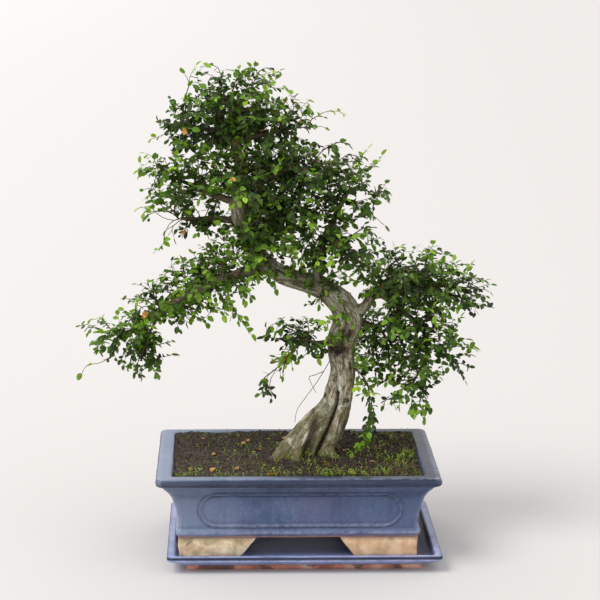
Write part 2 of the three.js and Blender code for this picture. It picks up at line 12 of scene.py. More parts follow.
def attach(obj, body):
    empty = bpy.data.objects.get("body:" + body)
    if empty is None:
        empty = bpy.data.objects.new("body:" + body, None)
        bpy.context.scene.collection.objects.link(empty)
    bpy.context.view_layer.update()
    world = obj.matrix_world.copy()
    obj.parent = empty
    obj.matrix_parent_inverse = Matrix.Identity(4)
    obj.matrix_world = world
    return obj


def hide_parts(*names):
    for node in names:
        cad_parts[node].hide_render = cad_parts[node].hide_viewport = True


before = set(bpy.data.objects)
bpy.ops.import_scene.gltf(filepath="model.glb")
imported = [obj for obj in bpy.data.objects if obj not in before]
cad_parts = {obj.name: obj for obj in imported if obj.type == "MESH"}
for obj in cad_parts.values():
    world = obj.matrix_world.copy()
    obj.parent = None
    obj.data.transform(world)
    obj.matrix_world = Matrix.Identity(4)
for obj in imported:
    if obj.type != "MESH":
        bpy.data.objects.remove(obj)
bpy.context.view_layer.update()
MM = 0.001
UP = np.array([0.0, 0.0, 1.0])

# Camera: where it stands, its axes, and its focal length on a 36 mm sensor.
CAMERA = {
    "place": (-0.104997, -3.081592, 0.996484),
    "right": (0.99939729, -0.03416376, 0.00615569),
    "up": (0.00081917, 0.20048685, 0.97969605),
    "forward": (0.03470423, 0.97910054, -0.200394),
    "lens": 132.0,
}

# Pot and tray. Profiles are rows of (distance in from the edge, height). The foot's edge is rows of (height,
# how far it draws in). An arch has two heights, and half widths on the front and the side.
POT = {"width": 400, "depth": 280, "corner": 9, "x": 0}
POT_OUTER = [
    (31.2, 46), (29.4, 47.6), (27.8, 51), (27.3, 54), (27.8, 57), (30, 59.6), (31, 64), (29.5, 78), (27, 91),
    (22, 107), (16, 116.4), (14.6, 117), (14.4, 119.4), (11.6, 120), (11.2, 123), (8.8, 123.6), (8.4, 126.4),
    (3.4, 127), (0.8, 129), (-0.2, 132.6), (0.4, 136.2), (2.8, 138.7), (6, 139.2),
]
POT_INNER = [(19, 139), (22, 137.6), (25, 124), (34, 107), (40, 88), (43, 61), (48, 57)]
POT_FLOOR = {"bottom": 46, "top": 57, "inset": 44, "lap": 9}
FOOT = {"inset": 31.2, "wall": 24, "bottom": 16.3, "high": 31.7, "round": 3.0}
FOOT_EDGE = [(0, 3.4), (0.5, 1.9), (1.3, 0.9), (2.6, 0.25)]
ARCH = {"top": 45, "foot": 17, "front_top": 59, "front_bottom": 81, "side_top": 29, "side_bottom": 46}
PANEL = {
    "x": 3, "z": 88, "length": 281, "height": 47, "end_length": 150, "end_height": 44, "recess": 1.3,
    "slope": 3.6,
}
DRAIN = {"x": 88, "radius": 12}
TRAY = {"width": 387.5, "depth": 275, "corner": 8, "x": 9}
TRAY_PROFILE = [
    (27, 0), (27, 7.4), (25.5, 8.6), (18.6, 9), (17, 10.6), (5, 16.8), (4.2, 18.4), (0.6, 18.9), (-0.2, 20.4),
    (-0.2, 23.8), (1, 25.6), (9.4, 25.6), (11, 24.4), (13.5, 18), (16, 16),
]

# Worn glaze with painted highlights, and pooled glaze, along a profile: share, height, reach, and insets it
# lies between.
POT_WORN_AND_HIGHLIT = [
    (0.55, 138.9, 0.5, -1, 8), (0.25, 129, 0.8, -1, 4), (0.3, 120, 0.8, -1, 16),
    (0.3, 123.6, 0.8, -1, 16), (0.7, 54, 2.4, -1, 29),
]
POT_POOLED = [
    (0.75, 127.4, 0.9, -1, 17), (0.65, 122.6, 1.0, -1, 17), (0.3, 118.6, 1.2, -1, 17),
    (0.5, 61.5, 2.2, 29, 99), (0.35, 112, 9, -1, 99),
]
TRAY_WORN_AND_HIGHLIT = [(1.0, 19.8, 1.1, -1, 99), (0.5, 14, 4, -1, 99)]

# Round a panel's edge: its raised line, wear with a painted highlight, and pooled glaze, as share, distance
# out, reach.
PANEL_LINE = [(1.0, 1.5, 2.2)]
PANEL_WORN_AND_HIGHLIT = [(0.55, 0.6, 1.3)]
PANEL_POOLED = [(0.5, -2.2, 1.8), (0.75, 3.6, 1.5)]

# Navy lips: the heights where each sets in, is full, ends and begins to fade, and the pot's darkest rows.
LIPS = {"pot": (125.5, 127.5, 138.6, 137.4), "tray": (20.8, 21.6, 25.7, 25.1)}
LIP_DARK = [(0.16, 138, 1.2), (0.16, 130.4, 0.9)]

# How uneven surfaces are: rows of (strength, size, octaves, seed).
UNEVEN = {
    "pot": [(0.35, 38, 3, 5), (0.12, 7, 2, 9)],
    "foot": [(1.1, 17, 2, 17), (0.35, 4, 2, 19)],
    "tray": [(0.3, 40, 3, 12)],
}

# Glazes: their blues, and painted light and shade from one x to another, in metres, with a share and a
# colour.
POT_BLUES = {
    "deep": (0.040, 0.070, 0.135), "middle": (0.082, 0.120, 0.225), "light": (0.140, 0.178, 0.300),
    "pool": (0.018, 0.024, 0.052), "navy": (0.008, 0.012, 0.030), "worn_and_highlit": (0.27, 0.30, 0.42),
}
# Painted light at the pot's left end and painted shade at its right end.
POT_PAINTED_LIGHT_AND_SHADE = [(-0.08, -0.19, 0.55, (0.29, 0.36, 0.48)), (0.02, 0.19, 0.4, (0.05, 0.10, 0.20))]
TRAY_BLUES = {
    "deep": (0.105, 0.140, 0.285), "middle": (0.205, 0.260, 0.470), "light": (0.34, 0.40, 0.65),
    "pool": (0.150, 0.195, 0.450), "navy": (0.006, 0.007, 0.018), "worn_and_highlit": (0.44, 0.50, 0.76),
}
# Painted shade at the tray's right end.
TRAY_PAINTED_SHADE = [(0.14, 0.20, 0.4, (0.070, 0.080, 0.110))]

# Soil, and what lies and grows on it: how many, how far from the middle, and how large. Weeds are thick at
# the front, at one end and round the trunk: each place and its reach, and their shares there and elsewhere.
SOIL = {"edge": 132, "bottom": 90, "clod": 0.9, "back": 7.4, "inset": 23.4, "pitch": 2.0}
MOUND = {"height": 8, "x": 12, "y": -4, "reach": 80}
CRUMBS = {"count": 2200, "reach": (174, 114), "size": (0.6, 1.9)}
WEEDS = {
    "count": 400, "reach": (172, 112), "high": (3.5, 13), "long": (1.6, 3.8), "wide": 0.6,
    "front": (-106, 15), "end": (160, 22), "trunk": ((12, 34), (-34, 34)), "shares": (0.9, 0.42, 0.6, 0.06),
}
THREADS = {"count": 260, "reach": (172, 112), "long": (4, 12), "right": 120}
LITTER = {"count": 26, "reach": (168, 108), "long": (5, 11), "large": (11, 14)}
LITTER_PLACES = [
    (-118, -62), (-88, -60), (-152, -70), (72, -92), (44, -58), (-46, -104), (128, 40), (-60, 20),
]

# Wood: each line is a list of points (x, y, z, radius) on the middle of a root, trunk or limb.
TRUNK_LINES = [
    [
        (20, 0, 118, 23), (22, 0, 129, 22), (36, 0, 158, 21), (53, 0, 188, 20), (60, 0, 222, 19.5),
        (66, 2, 262, 17), (63, 2, 290, 18.5), (65, 0, 308, 21), (72, -2, 333, 20.5), (68, -4, 352, 18.5),
        (54, -5, 370, 16.5), (35, -4, 383, 15), (8, -2, 393, 13.5), (-18, 0, 401, 13), (-42, 2, 415, 13),
        (-62, 4, 440, 12.5), (-78, 5, 472, 12), (-84, 3, 505, 11), (-78, 0, 540, 9.5), (-88, -2, 590, 7.5),
        (-94, 0, 648, 4),
    ],
    [
        (-16, -7, 118, 27), (-10, -7, 129, 25), (5, -6, 156, 21.5), (26, -5, 186, 17), (43, -3, 208, 12.5),
        (55, 0, 230, 10),
    ],
]
ROOT_LINES = [
    [(-6, -14, 160, 11), (-26, -20, 140, 9), (-44, -28, 124, 5)],
    [(40, -8, 160, 10), (50, -16, 141, 8), (62, -26, 124, 4.5)],
    [(6, -14, 158, 9), (0, -30, 140, 7.5), (-4, -48, 124, 4.5)],
    [(2, 12, 158, 10), (-18, 30, 140, 8), (-34, 44, 124, 4.5)],
    [(42, 12, 162, 10), (56, 26, 141, 8), (72, 38, 124, 4.5)],
]
LIMB_LINES = {
    "right": [(70, 0, 345, 10), (92, -5, 356, 8), (106, -10, 374, 7), (126, -12, 379, 6), (170, -12, 386, 5),
              (212, -6, 388, 3.6)],
    "rightBack": [(112, -10, 376, 5), (138, 18, 388, 4), (168, 40, 394, 3)],
    "rightDroop": [(120, -12, 378, 5), (150, -28, 356, 4.2), (176, -36, 330, 3.4), (194, -34, 304, 2.8)],
    "rightLow": [(78, 6, 328, 5.5), (96, 20, 330, 4.4), (118, 26, 318, 3.4), (130, 22, 304, 2.6)],
    "rightTip": [(186, -35, 318, 2.8), (180, -26, 284, 2.2), (168, -18, 250, 1.8)],
    "left": [(-38, 2, 412, 9), (-70, -7, 408, 8), (-112, -12, 397, 6.8), (-154, -10, 376, 5.6),
             (-196, -6, 350, 4.4), (-240, -4, 322, 3)],
    "leftBack": [(-102, -10, 400, 4.6), (-128, 14, 392, 3.8), (-150, 34, 380, 2.8)],
    "leftHang": [(-190, -6, 354, 3.4), (-206, -20, 330, 2.6), (-213, -24, 302, 2)],
    "upperLeft": [(-84, 3, 508, 6.5), (-112, -4, 516, 5.4), (-140, -8, 528, 4.4), (-162, -10, 538, 3.2)],
    "upperLeftLow": [(-79, 5, 480, 6), (-110, 14, 480, 5), (-142, 18, 480, 4), (-168, 18, 480, 3)],
    "riser": [(35, -4, 384, 8), (26, -12, 414, 6.6), (34, -16, 446, 5.6), (48, -14, 480, 4.6),
              (64, -2, 506, 3.4)],
    "riserFront": [(30, -14, 430, 4.4), (44, -24, 446, 3.6), (56, -28, 456, 2.8)],
    "cross": [(-80, 2, 524, 5.6), (-48, -12, 540, 4.8), (-14, -26, 552, 4), (16, -32, 558, 3)],
    "crossBack": [(-80, 2, 548, 4.6), (-52, 26, 556, 3.8), (-24, 44, 560, 2.8)],
    "middle": [(-78, 0, 530, 4.4), (-76, -22, 536, 3.6), (-72, -40, 540, 2.8)],
    "centreLow": [(-52, 4, 430, 4.6), (-48, -16, 446, 3.8), (-42, -32, 460, 2.8)],
    "centreBack": [(-66, 5, 450, 4.6), (-48, 30, 462, 3.8), (-30, 50, 474, 2.8)],
    "heart": [(-80, 4, 500, 4.6), (-48, -2, 504, 3.8), (-14, -8, 508, 2.8)],
    "crownLeft": [(-89, -2, 596, 4.8), (-116, -12, 608, 4), (-144, -18, 616, 2.8)],
    "crownRight": [(-89, -2, 592, 4.8), (-60, -10, 602, 4), (-28, -12, 608, 2.8)],
    "crownBack": [(-92, 0, 612, 4.2), (-90, 24, 622, 3.4), (-86, 46, 628, 2.6)],
    "lowLeft": [(48, 0, 302, 4.4), (24, -12, 306, 3.6), (10, -16, 314, 2.8)],
    "lowTwig": [(12, -15, 312, 2.4), (-6, -20, 296, 2), (-24, -20, 276, 1.6)],
    "hangingTwig": [(74, -12, 270, 2.4), (94, -22, 262, 2), (103, -24, 232, 1.6)],
}

# Bare dead twigs, with the radius at the start of each.
DEAD_TWIGS = [
    ([(48, -14, 282), (38, -22, 266), (24, -26, 245), (10, -27, 226), (0, -27, 210), (-3, -26, 192)], 0.6),
    ([(38, -22, 266), (26, -26, 262), (17, -28, 259), (20, -28, 250), (27, -27, 236)], 0.6),
    ([(60, -16, 300), (52, -26, 312), (44, -30, 330)], 0.7),
    ([(88, -8, 352), (96, -18, 336), (98, -24, 322)], 0.7),
]

# Foliage pads: limb, place along it, centre, half sizes, sprays.
PADS = {
    "crown_top": ("main", 1, (-84, 0, 656), (78, 72, 54), 2),
    "crown_left": ("crownLeft", 1, (-143, -19, 625), (68, 62, 56), 2),
    "crown_right": ("crownRight", 1, (-34, -12, 618), (72, 62, 54), 2),
    "crown_back": ("crownBack", 1, (-85, 55, 617), (72, 54, 56), 2),
    "upper_left": ("upperLeft", 1, (-154, -14, 548), (74, 66, 54), 2),
    "upper_left_low": ("upperLeftLow", 1, (-160, 18, 492), (68, 60, 46), 2),
    "middle": ("middle", 1, (-72, -44, 546), (66, 60, 54), 2),
    "middle_right": ("cross", 1, (20, -34, 562), (72, 62, 50), 2),
    "middle_back": ("crossBack", 1, (-22, 48, 552), (70, 60, 56), 2),
    "heart": ("heart", 1, (-8, -10, 508), (66, 60, 50), 2),
    "riser_top": ("riser", 1, (68, 2, 522), (70, 68, 54), 2),
    "riser_front": ("riserFront", 1, (62, -30, 446), (68, 62, 54), 2),
    "centre_low": ("centreLow", 1, (-44, -34, 468), (72, 62, 52), 2),
    "centre_back": ("centreBack", 1, (-30, 54, 478), (72, 60, 54), 2),
    "left_near": ("left", 0.36, (-108, -22, 410), (68, 66, 50), 2),
    "left_middle": ("left", 0.74, (-186, -8, 358), (66, 64, 46), 2),
    "left_end": ("left", 1, (-250, -4, 306), (70, 58, 48), 2),
    "left_back": ("leftBack", 1, (-148, 42, 380), (66, 58, 48), 2),
    "left_hang": ("leftHang", 1, (-214, -26, 288), (38, 40, 46), 1),
    "right_near": ("right", 0.66, (148, -20, 398), (66, 62, 48), 2),
    "right_end": ("right", 1, (222, -4, 374), (70, 62, 52), 2),
    "right_back": ("rightBack", 1, (174, 48, 388), (68, 58, 54), 2),
    "right_middle": ("rightDroop", 0.46, (164, -36, 340), (60, 56, 50), 2),
    "right_droop": ("rightDroop", 1, (200, -34, 302), (58, 58, 60), 2),
    "right_low": ("rightLow", 1, (130, 22, 296), (64, 60, 64), 2),
    "right_tip": ("rightTip", 1, (160, -16, 242), (54, 48, 48), 1),
    "low_left": ("lowLeft", 1, (2, -16, 318), (54, 52, 36), 1),
    "low_twig": ("lowTwig", 1, (-42, -20, 244), (10, 22, 24), 1),
    "hanging": ("hangingTwig", 1, (107, -23, 189), (14, 16, 26), 1),
}

# Single sprigs that reach past the pads: pad, then the places of their tips.
SPRIGS = {
    "crown_left": [(-144, -20, 701), (-158, -16, 690), (-204, -20, 600)],
    "crown_top": [(-84, -16, 698), (-40, -20, 694)],
    "crown_right": [(40, -24, 640), (62, -22, 636), (36, -18, 616)],
    "upper_left": [(-224, -26, 556), (-214, -20, 580)],
    "upper_left_low": [(-222, -6, 500), (-200, -16, 440)],
    "riser_front": [(104, -24, 452), (92, -26, 468), (114, -20, 440), (84, -30, 440)],
    "riser_top": [(96, -20, 586), (118, -14, 576), (128, -16, 522), (122, -22, 478)],
    "middle_right": [(84, -38, 572)],
    "centre_low": [(-112, -30, 446), (-24, -26, 428), (-8, -24, 422), (6, -24, 416), (-14, -20, 414)],
    "left_near": [
        (-118, -34, 458), (-104, -30, 352), (-84, -26, 342), (-66, -24, 322), (-96, -30, 366),
        (-76, -28, 372), (-112, -34, 368), (-92, -22, 350), (-120, -30, 440), (-108, -30, 430),
    ],
    "left_middle": [(-206, -16, 396), (-190, -20, 404)],
    "left_end": [(-308, -10, 262), (-284, -18, 296), (-268, -10, 284)],
    "left_hang": [(-222, -30, 262), (-200, -34, 266)],
    "right_near": [
        (166, -34, 448), (192, -24, 452), (72, -24, 404), (88, -24, 398), (60, -20, 412), (80, -22, 416),
    ],
    "right_end": [(250, -16, 424), (276, -8, 390), (262, -12, 362)],
    "right_droop": [(236, -44, 318), (230, -40, 272)],
    "right_tip": [(182, -26, 196), (166, -30, 206)],
    "right_low": [(96, -10, 262), (112, -20, 246), (134, -26, 262)],
    "low_left": [
        (-44, -24, 320), (-20, -30, 342), (20, -26, 340), (28, -26, 288), (4, -24, 338), (34, -24, 330),
    ],
    "low_twig": [(-58, -24, 230), (-40, -24, 240)],
    "hanging": [(97, -30, 156), (82, -34, 148), (90, -38, 162)],
}

# Pads that differ: how many of the usual tips they have, and how much younger their leaves are.
THINNED = {
    "crown_top": (1.0, 0.04), "middle": (1.0, 0.06), "riser_top": (1.0, 0.06), "centre_low": (1.0, 0.14),
    "upper_left": (0.92, 0.05), "upper_left_low": (0.86, 0.05), "low_left": (0.62, -0.12),
    "low_twig": (0.7, 0.0), "left_near": (1.0, 0.12), "left_middle": (0.96, 0.08), "left_end": (0.78, 0.08),
    "left_hang": (0.72, 0.08), "right_near": (0.96, 0.0), "right_middle": (0.94, 0.03),
    "right_end": (0.9, 0.03), "right_droop": (0.84, 0.06), "right_low": (0.84, 0.05),
    "right_tip": (0.84, 0.06),
}

# Short leafy shoots on the front of the trunk: pad, then the places where they start.
SHOOTS = {
    "low_left": [(62, -20, 352), (58, -21, 336), (66, -21, 318), (48, -20, 322), (78, -18, 300)],
    "middle": [(-84, -10, 585), (-80, -11, 565), (-80, -12, 545), (-88, -9, 602), (-84, -12, 520)],
    "crown_top": [(-91, -7, 618), (-92, -6, 632)],
    "centre_back": [(-66, -10, 442), (-74, -9, 462)],
    "riser_front": [(50, -16, 386), (30, -17, 394), (62, -12, 398)],
    "centre_low": [(12, -15, 400), (-8, -13, 404), (-28, -12, 412)],
    "left_near": [(10, -15, 388), (34, -16, 376)],
}

# Gaps that stay free of leaves, seen from the front: centre x and z, and half sizes.
GAPS = [
    (-184, 680, 30, 24), (-216, 640, 22, 20), (-222, 606, 18, 14), (-186, 474, 26, 17), (-132, 492, 16, 12),
    (-101, 506, 12, 20), (30, 606, 34, 12), (112, 548, 16, 16), (126, 496, 14, 22), (-316, 300, 30, 34),
    (-288, 262, 14, 18), (-206, 240, 34, 16), (-12, 262, 30, 22), (-56, 288, 14, 30), (262, 330, 16, 20),
    (236, 240, 26, 20), (196, 184, 20, 14), (40, 226, 60, 20),
]

# Twigs and leaves of a spray. The hanging pad has a leaf width and a youth of its sprigs of its own.
TWIGS = {"per_litre": 104, "least": 7, "tip": 0.4, "power": 0.42, "apart": 26, "step": 9.0,
         "shortest": 7}
SPROUTS = {"pitch": 9.0, "long": (16, 40), "thin": 7.5}
LEAVES = {
    "spacing": 4.7, "long": (7.5, 14.0), "wide": 0.62, "angle": 60, "bare": 2.5, "sprig_youth": 0.18,
    "fold": (0.08, 0.40), "curl": (0.0, 0.26), "sway": 0.07,
}
HANGING = (0.72, 0.04)

# How young and bright leaves are: inside a pad, and more towards its outside, its top and the tips of twigs.
YOUTH = {
    "inside": 0.10, "outside": 0.20, "high": 0.09, "tip": 0.14, "fresh_tip": 0.62, "spread": 0.08,
    "patches": 0.22, "dry": 0.005,
}

# Leaf outline from stalk to tip: share of the length, and of half the width.
LEAF_ROWS = [(0.12, 0.16), (0.24, 0.78), (0.47, 1.0), (0.71, 0.84), (0.90, 0.42)]

# Thick wood: the least radius that joins the trunk's skin, the skin's mesh size, and how far limbs sway.
# A kind of line has steps from point to point, a number of sides, and a share of unevenness.
WOOD = {"thick": 4.6, "voxel": 1.7, "sway": 2.2}
KINDS = {"trunk": (6, 40, 0.14), "root": (10, 18, 0.1), "limb": (10, 20, 0.1)}

# How far the bark's forms stand out or in.
CARVING = {"lobes": 1.6, "plates": 0.6, "cracks": 1.1, "fine": 0.32, "knots": 2.2}

# On the trunk's front, as (x, z): hollows with their reach, depth and painted shade; knots and pale patches.
FURROWS = [
    ([(58, 232), (57, 218), (50, 194), (42, 172), (33, 152), (27, 132)], 3.0, 9.0, 1.0),
    ([(56, 262), (55, 246), (58, 232)], 1.6, 2.5, 0.7),
    ([(27, 190), (20, 164), (11, 136)], 6.5, 5.0, 0.82),
    ([(70, 300), (66, 270), (68, 240), (66, 206), (58, 172)], 1.5, 1.6, 0.6),
    ([(40, 262), (34, 236), (24, 206), (2, 176), (-14, 146)], 1.4, 1.4, 0.55),
    ([(72, 190), (66, 164), (58, 138)], 4.0, 3.0, 0.75),
]
KNOTS = [((57, 297), 17), ((39, 226), 4), ((69, 222), 4.5), ((74, 322), 8), ((18, 374), 6), ((-66, 452), 9)]
PALE = [((40, 208), 13), ((62, 214), 9), ((57, 376), 12), ((66, 252), 7), ((-9, 164), 9), ((46, 168), 7)]

# Studio: the sky's colour and strength, the floor's half width and two shades of painted light, and broad
# soft lights without fall-off. Each light has the way it shines, its spread in degrees, its strength and its
# colour.
SKY = ((1.0, 0.982, 0.97, 1), 0.98)
FLOOR_REACH = 60000
FLOOR_PAINTED_LIGHT = ((0.575, 0.560, 0.552), (0.655, 0.646, 0.640))
SUNS = {
    "key": ((0.66, 0.55, -1.0), 30, 2.0, (1.0, 0.985, 0.96)),
    "fill": ((-0.8, 0.75, -0.8), 70, 0.35, (0.97, 0.985, 1.0)),
}


# A fixed random number from 0 to 1 for each corner of a grid.
def lattice(cell, shift, seed):
    x, y, z = (cell + shift).astype(np.int64).T
    mixed = (x * 374761393 + y * 668265263 + z * 1442695041 + seed * 1274126177) & 0xFFFFFFFF
    mixed = ((mixed ^ (mixed >> 13)) * 1274126177) & 0xFFFFFFFF
    return ((mixed ^ (mixed >> 16)) & 0xFFFF) / 65535


# Seamless noise from -1 to 1 at many points at once.
def noise(points, seed):
    cell = np.floor(points)
    part = points - cell
    part = part * part * (3 - 2 * part)
    total = np.zeros(len(points))
    for corner in np.ndindex(2, 2, 2):
        weight = np.prod(np.where(np.array(corner), part, 1 - part), axis=1)
        total += weight * lattice(cell, np.array(corner), seed)
    return total * 2 - 1


# Noise in layers, each half as strong and half as large as the one before.
def fractal(points, octaves, seed):
    total = np.zeros(len(points))
    for octave in range(octaves):
        total += noise(points * 2 ** octave, seed + octave) / 2 ** octave
    return total


def uneven(points, surface):
    layers = UNEVEN[surface]
    return sum(strength * fractal(points / size, octaves, seed) for strength, size, octaves, seed in layers)


def unit(vectors):
    length = np.linalg.norm(vectors, axis=-1, keepdims=True)
    return vectors / np.maximum(length, 1e-9)


# How far along a line each of its points lies.
def distances(points):
    return np.concatenate([[0], np.cumsum(np.linalg.norm(np.diff(points, axis=0), axis=1))])


# The points that lie at some distances along a line.
def along_line(points, lengths, places):
    return np.column_stack([np.interp(places, lengths, points[:, axis]) for axis in range(3)])


# The place at a distance along a line, and the line's direction there.
def spot_on(line, lengths, run):
    spot, ahead, behind = (along_line(line, lengths, [run + step])[0] for step in (0, 1, -1))
    return spot, unit(ahead - behind)


# Angles spread evenly round a circle, and the directions at any angles.
def round_turns(count):
    return np.arange(count) / count * 2 * math.pi


def directions(turns):
    return np.column_stack([np.cos(turns), np.sin(turns)])


# Triples of numbers that a mesh holds for its points or triangles.
def fetched(items, key, kind=float):
    values = np.zeros(len(items) * 3, kind)
    items.foreach_get(key, values)
    return values.reshape(-1, 3)


# Triangles of a lattice of points, row by row. The last column joins the first.
def band(rows, columns, closed_rows=False):
    row = np.arange(rows if closed_rows else rows - 1)[:, None]
    column = np.arange(columns)[None, :]
    right = (column + 1) % columns
    above = (row + 1) % rows
    a, b = row * columns + column, row * columns + right
    c, d = above * columns + right, above * columns + column
    return np.concatenate([np.stack([a, b, c], -1), np.stack([a, c, d], -1)]).reshape(-1, 3)


# Triangles between a ring of points and one centre.
def fan(first, count, centre, turned=False):
    ring = first + np.arange(count)
    triangles = np.stack([ring, np.roll(ring, -1), np.full(count, centre)], -1)
    return triangles[:, ::-1] if turned else triangles


# A band whose two ends are closed by fans round two more points.
def capped(rows, columns):
    count = rows * columns
    first, last = fan(0, columns, count, turned=True), fan(count - columns, columns, count + 1)
    return np.concatenate([band(rows, columns), first, last])


# From 0 to 1 while values go from start to end.
def rise(values, start, end):
    return np.clip((values - start) / (end - start), 0, 1)


# 1 at the centre, falling softly to 0 beyond the reach.
def bump(values, centre, reach):
    return np.exp(-((values - centre) / reach) ** 2)


def bumps(values, table):
    return sum(share * bump(values, centre, reach) for share, centre, reach in table)


# Collects points and triangles, with a value at each point for every named attribute.
class Sheet:
    def __init__(self, *names):
        self.names = names
        self.points = []
        self.triangles = []
        self.looks = []
        self.values = {name: [] for name in names}
        self.count = 0

    def add(self, points, triangles, look=0, **values):
        points = np.asarray(points, float).reshape(-1, 3)
        triangles = np.asarray(triangles, int).reshape(-1, 3)
        self.points.append(points)
        self.triangles.append(triangles + self.count)
        self.looks.append(np.full(len(triangles), look))
        for name in self.names:
            given = np.asarray(values.get(name, (0, 0, 0)), float)
            self.values[name].append(np.broadcast_to(given, (len(points), 3)))
        self.count += len(points)

    def mesh(self, name):
        points = np.concatenate(self.points) * MM
        triangles = np.concatenate(self.triangles)
        mesh = bpy.data.meshes.new(name)
        mesh.vertices.add(len(points))
        mesh.vertices.foreach_set("co", points.ravel())
        mesh.loops.add(triangles.size)
        mesh.loops.foreach_set("vertex_index", triangles.ravel())
        mesh.polygons.add(len(triangles))
        mesh.polygons.foreach_set("loop_start", np.arange(0, triangles.size, 3))
        mesh.polygons.foreach_set("material_index", np.concatenate(self.looks))
        mesh.update(calc_edges=True)
        mesh.polygons.foreach_set("use_smooth", np.ones(len(triangles), bool))
        for key in self.names:
            layer = mesh.attributes.new(key, "FLOAT_VECTOR", "POINT")
            layer.data.foreach_set("vector", np.concatenate(self.values[key]).ravel())
        mesh.validate()
        return mesh


def add_object(name, data, materials=()):
    made = bpy.data.objects.new(name, data)
    bpy.context.scene.collection.objects.link(made)
    for material in materials:
        data.materials.append(material)
    return made


# A finished piece: it rides on the object's one body and stands for the CAD nodes named.
def add_piece(name, mesh, materials, slot, *nodes):
    piece = add_object(name, mesh, materials)
    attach(piece, "root")
    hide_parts(*nodes)


# Points of a smooth line through rows of (x, y, z, radius).
def smooth_line(rows, steps):
    rows = np.array(rows, float)
    wide = np.vstack([2 * rows[0] - rows[1], rows, 2 * rows[-1] - rows[-2]])
    place = np.linspace(0, len(rows) - 1, (len(rows) - 1) * steps + 1)
    index = np.minimum(place.astype(int), len(rows) - 2)
    share = (place - index)[:, None]
    before, start, end, after = (wide[index + shift] for shift in range(4))
    leave, arrive = (end - before) / 2, (after - start) / 2
    line = (2 * start - 2 * end + leave + arrive) * share ** 3
    line += (3 * end - 3 * start - 2 * leave - arrive) * share ** 2
    line += leave * share + start
    line[:, 3] = ((1 - share) * start + share * end)[:, 3]
    return line


# Two directions across each point of a line, carried along without twisting.
def frames(points):
    along = unit(np.gradient(points, axis=0))
    steady = np.array([0.0, 1.0, 0.0]) if abs(along[0][1]) < 0.8 else np.array([1.0, 0.0, 0.0])
    sides = []
    for direction in along:
        steady = steady - direction * steady.dot(direction)
        steady = steady / np.linalg.norm(steady)
        sides.append(steady)
    side = np.array(sides)
    return along, side, np.cross(along, side)


# A closed tube along a line. Flutes make its section uneven, by turns and by distance.
def tube(line, sides, flute=0.0, seed=0):
    points, radius = line[:, :3], line[:, 3]
    _, side, across = frames(points)
    turn = round_turns(sides)
    reach = np.repeat(radius[:, None], sides, axis=1)
    if flute:
        run = distances(points)[:, None] * 0.009
        ring = np.stack(np.broadcast_arrays(np.cos(turn) * 1.5 + seed * 7.3, np.sin(turn) * 1.5, run), -1)
        reach = reach * (1 + flute * fractal(ring.reshape(-1, 3), 2, seed).reshape(len(points), sides))
    rings = points[:, None] + reach[..., None] * (
        np.cos(turn)[:, None] * side[:, None] + np.sin(turn)[:, None] * across[:, None])
    return np.vstack([rings.reshape(-1, 3), points[0], points[-1]]), capped(len(points), sides)


# Node materials, built from a few short words.
class Paint:
    def __init__(self, name, roughness, **settings):
        self.material = bpy.data.materials.new(name)
        self.material.use_nodes = True
        self.nodes = self.material.node_tree.nodes
        self.links = self.material.node_tree.links
        self.shader = self.nodes["Principled BSDF"]
        self.fill(self.shader, Roughness=roughness, **settings)
        self.place = self.node("TexCoord").outputs["Object"]

    def node(self, kind, *inputs, **settings):
        made = self.nodes.new("ShaderNode" + kind)
        for key, value in settings.items():
            setattr(made, key, value)
        for socket, value in zip(made.inputs, inputs):
            self.give(socket, value)
        return made

    def give(self, socket, value):
        if value is None:
            return
        if isinstance(value, bpy.types.NodeSocket):
            self.links.new(value, socket)
        elif socket.type == "RGBA":
            socket.default_value = (*value, 1)
        else:
            socket.default_value = value

    # Gives a node's sockets their values or links by name.
    def fill(self, made, **values):
        for key, value in values.items():
            self.give(made.inputs[key.replace("_", " ")], value)
        return made

    def stretched(self, x, y, z, vector=None):
        return self.node("Mapping", vector or self.place, (0, 0, 0), (0, 0, 0), (x, y, z)).outputs[0]

    def noise(self, scale, detail, vector=None, distortion=0.0):
        made = self.fill(self.node("TexNoise"), Vector=vector or self.place, Scale=scale, Detail=detail)
        return self.fill(made, Distortion=distortion).outputs[0]

    def math(self, operation, a, b=0.0):
        return self.node("Math", a, b, operation=operation).outputs[0]

    def times(self, a, b):
        return self.math("MULTIPLY", a, b)

    def plus(self, a, b):
        return self.math("ADD", a, b)

    def minus(self, a, b):
        return self.math("SUBTRACT", a, b)

    def span(self, value, low, high, start=0.0, end=1.0):
        return self.node("MapRange", value, low, high, start, end).outputs[0]

    def ramp(self, value, *stops):
        made = self.node("ValToRGB", value)
        points = made.color_ramp.elements
        while len(points) < len(stops):
            points.new(0.5)
        for point, (position, colour) in zip(points, stops):
            point.position = position
            point.color = (*colour, 1)
        return made.outputs[0]

    def mix(self, share, a, b, blend="MIX"):
        made = self.node("Mix", data_type="RGBA", blend_type=blend)
        for socket, value in zip((made.inputs[0], made.inputs[6], made.inputs[7]), (share, a, b)):
            self.give(socket, value)
        return made.outputs[2]

    def given(self, name):
        return self.node("Attribute", attribute_name=name).outputs["Vector"]

    def split(self, vector):
        return self.node("SeparateXYZ", vector).outputs

    # Patches with soft edges: noise that goes from start to end between two levels.
    def patches(self, scale, detail, low, high, start=0.0, end=1.0, vector=None, distortion=0.0):
        return self.span(self.noise(scale, detail, vector, distortion), low, high, start, end)

    # A value made uneven by noise, for an edge that wanders.
    def ragged(self, value, scale, reach):
        return self.plus(value, self.times(self.minus(self.noise(scale, 4), 0.5), reach))

    # One more layer of colour over another, where its mask lets it show.
    def coat(self, body, mask, share, colour):
        return self.mix(self.times(mask, share), body, colour)

    def finish(self, colour, roughness, height, strength, depth):
        self.fill(self.shader, Base_Color=colour, Roughness=roughness)
        relief = self.fill(self.node("Bump"), Strength=strength, Distance=depth * MM, Height=height)
        self.fill(self.shader, Normal=relief.outputs[0])
        return self.material
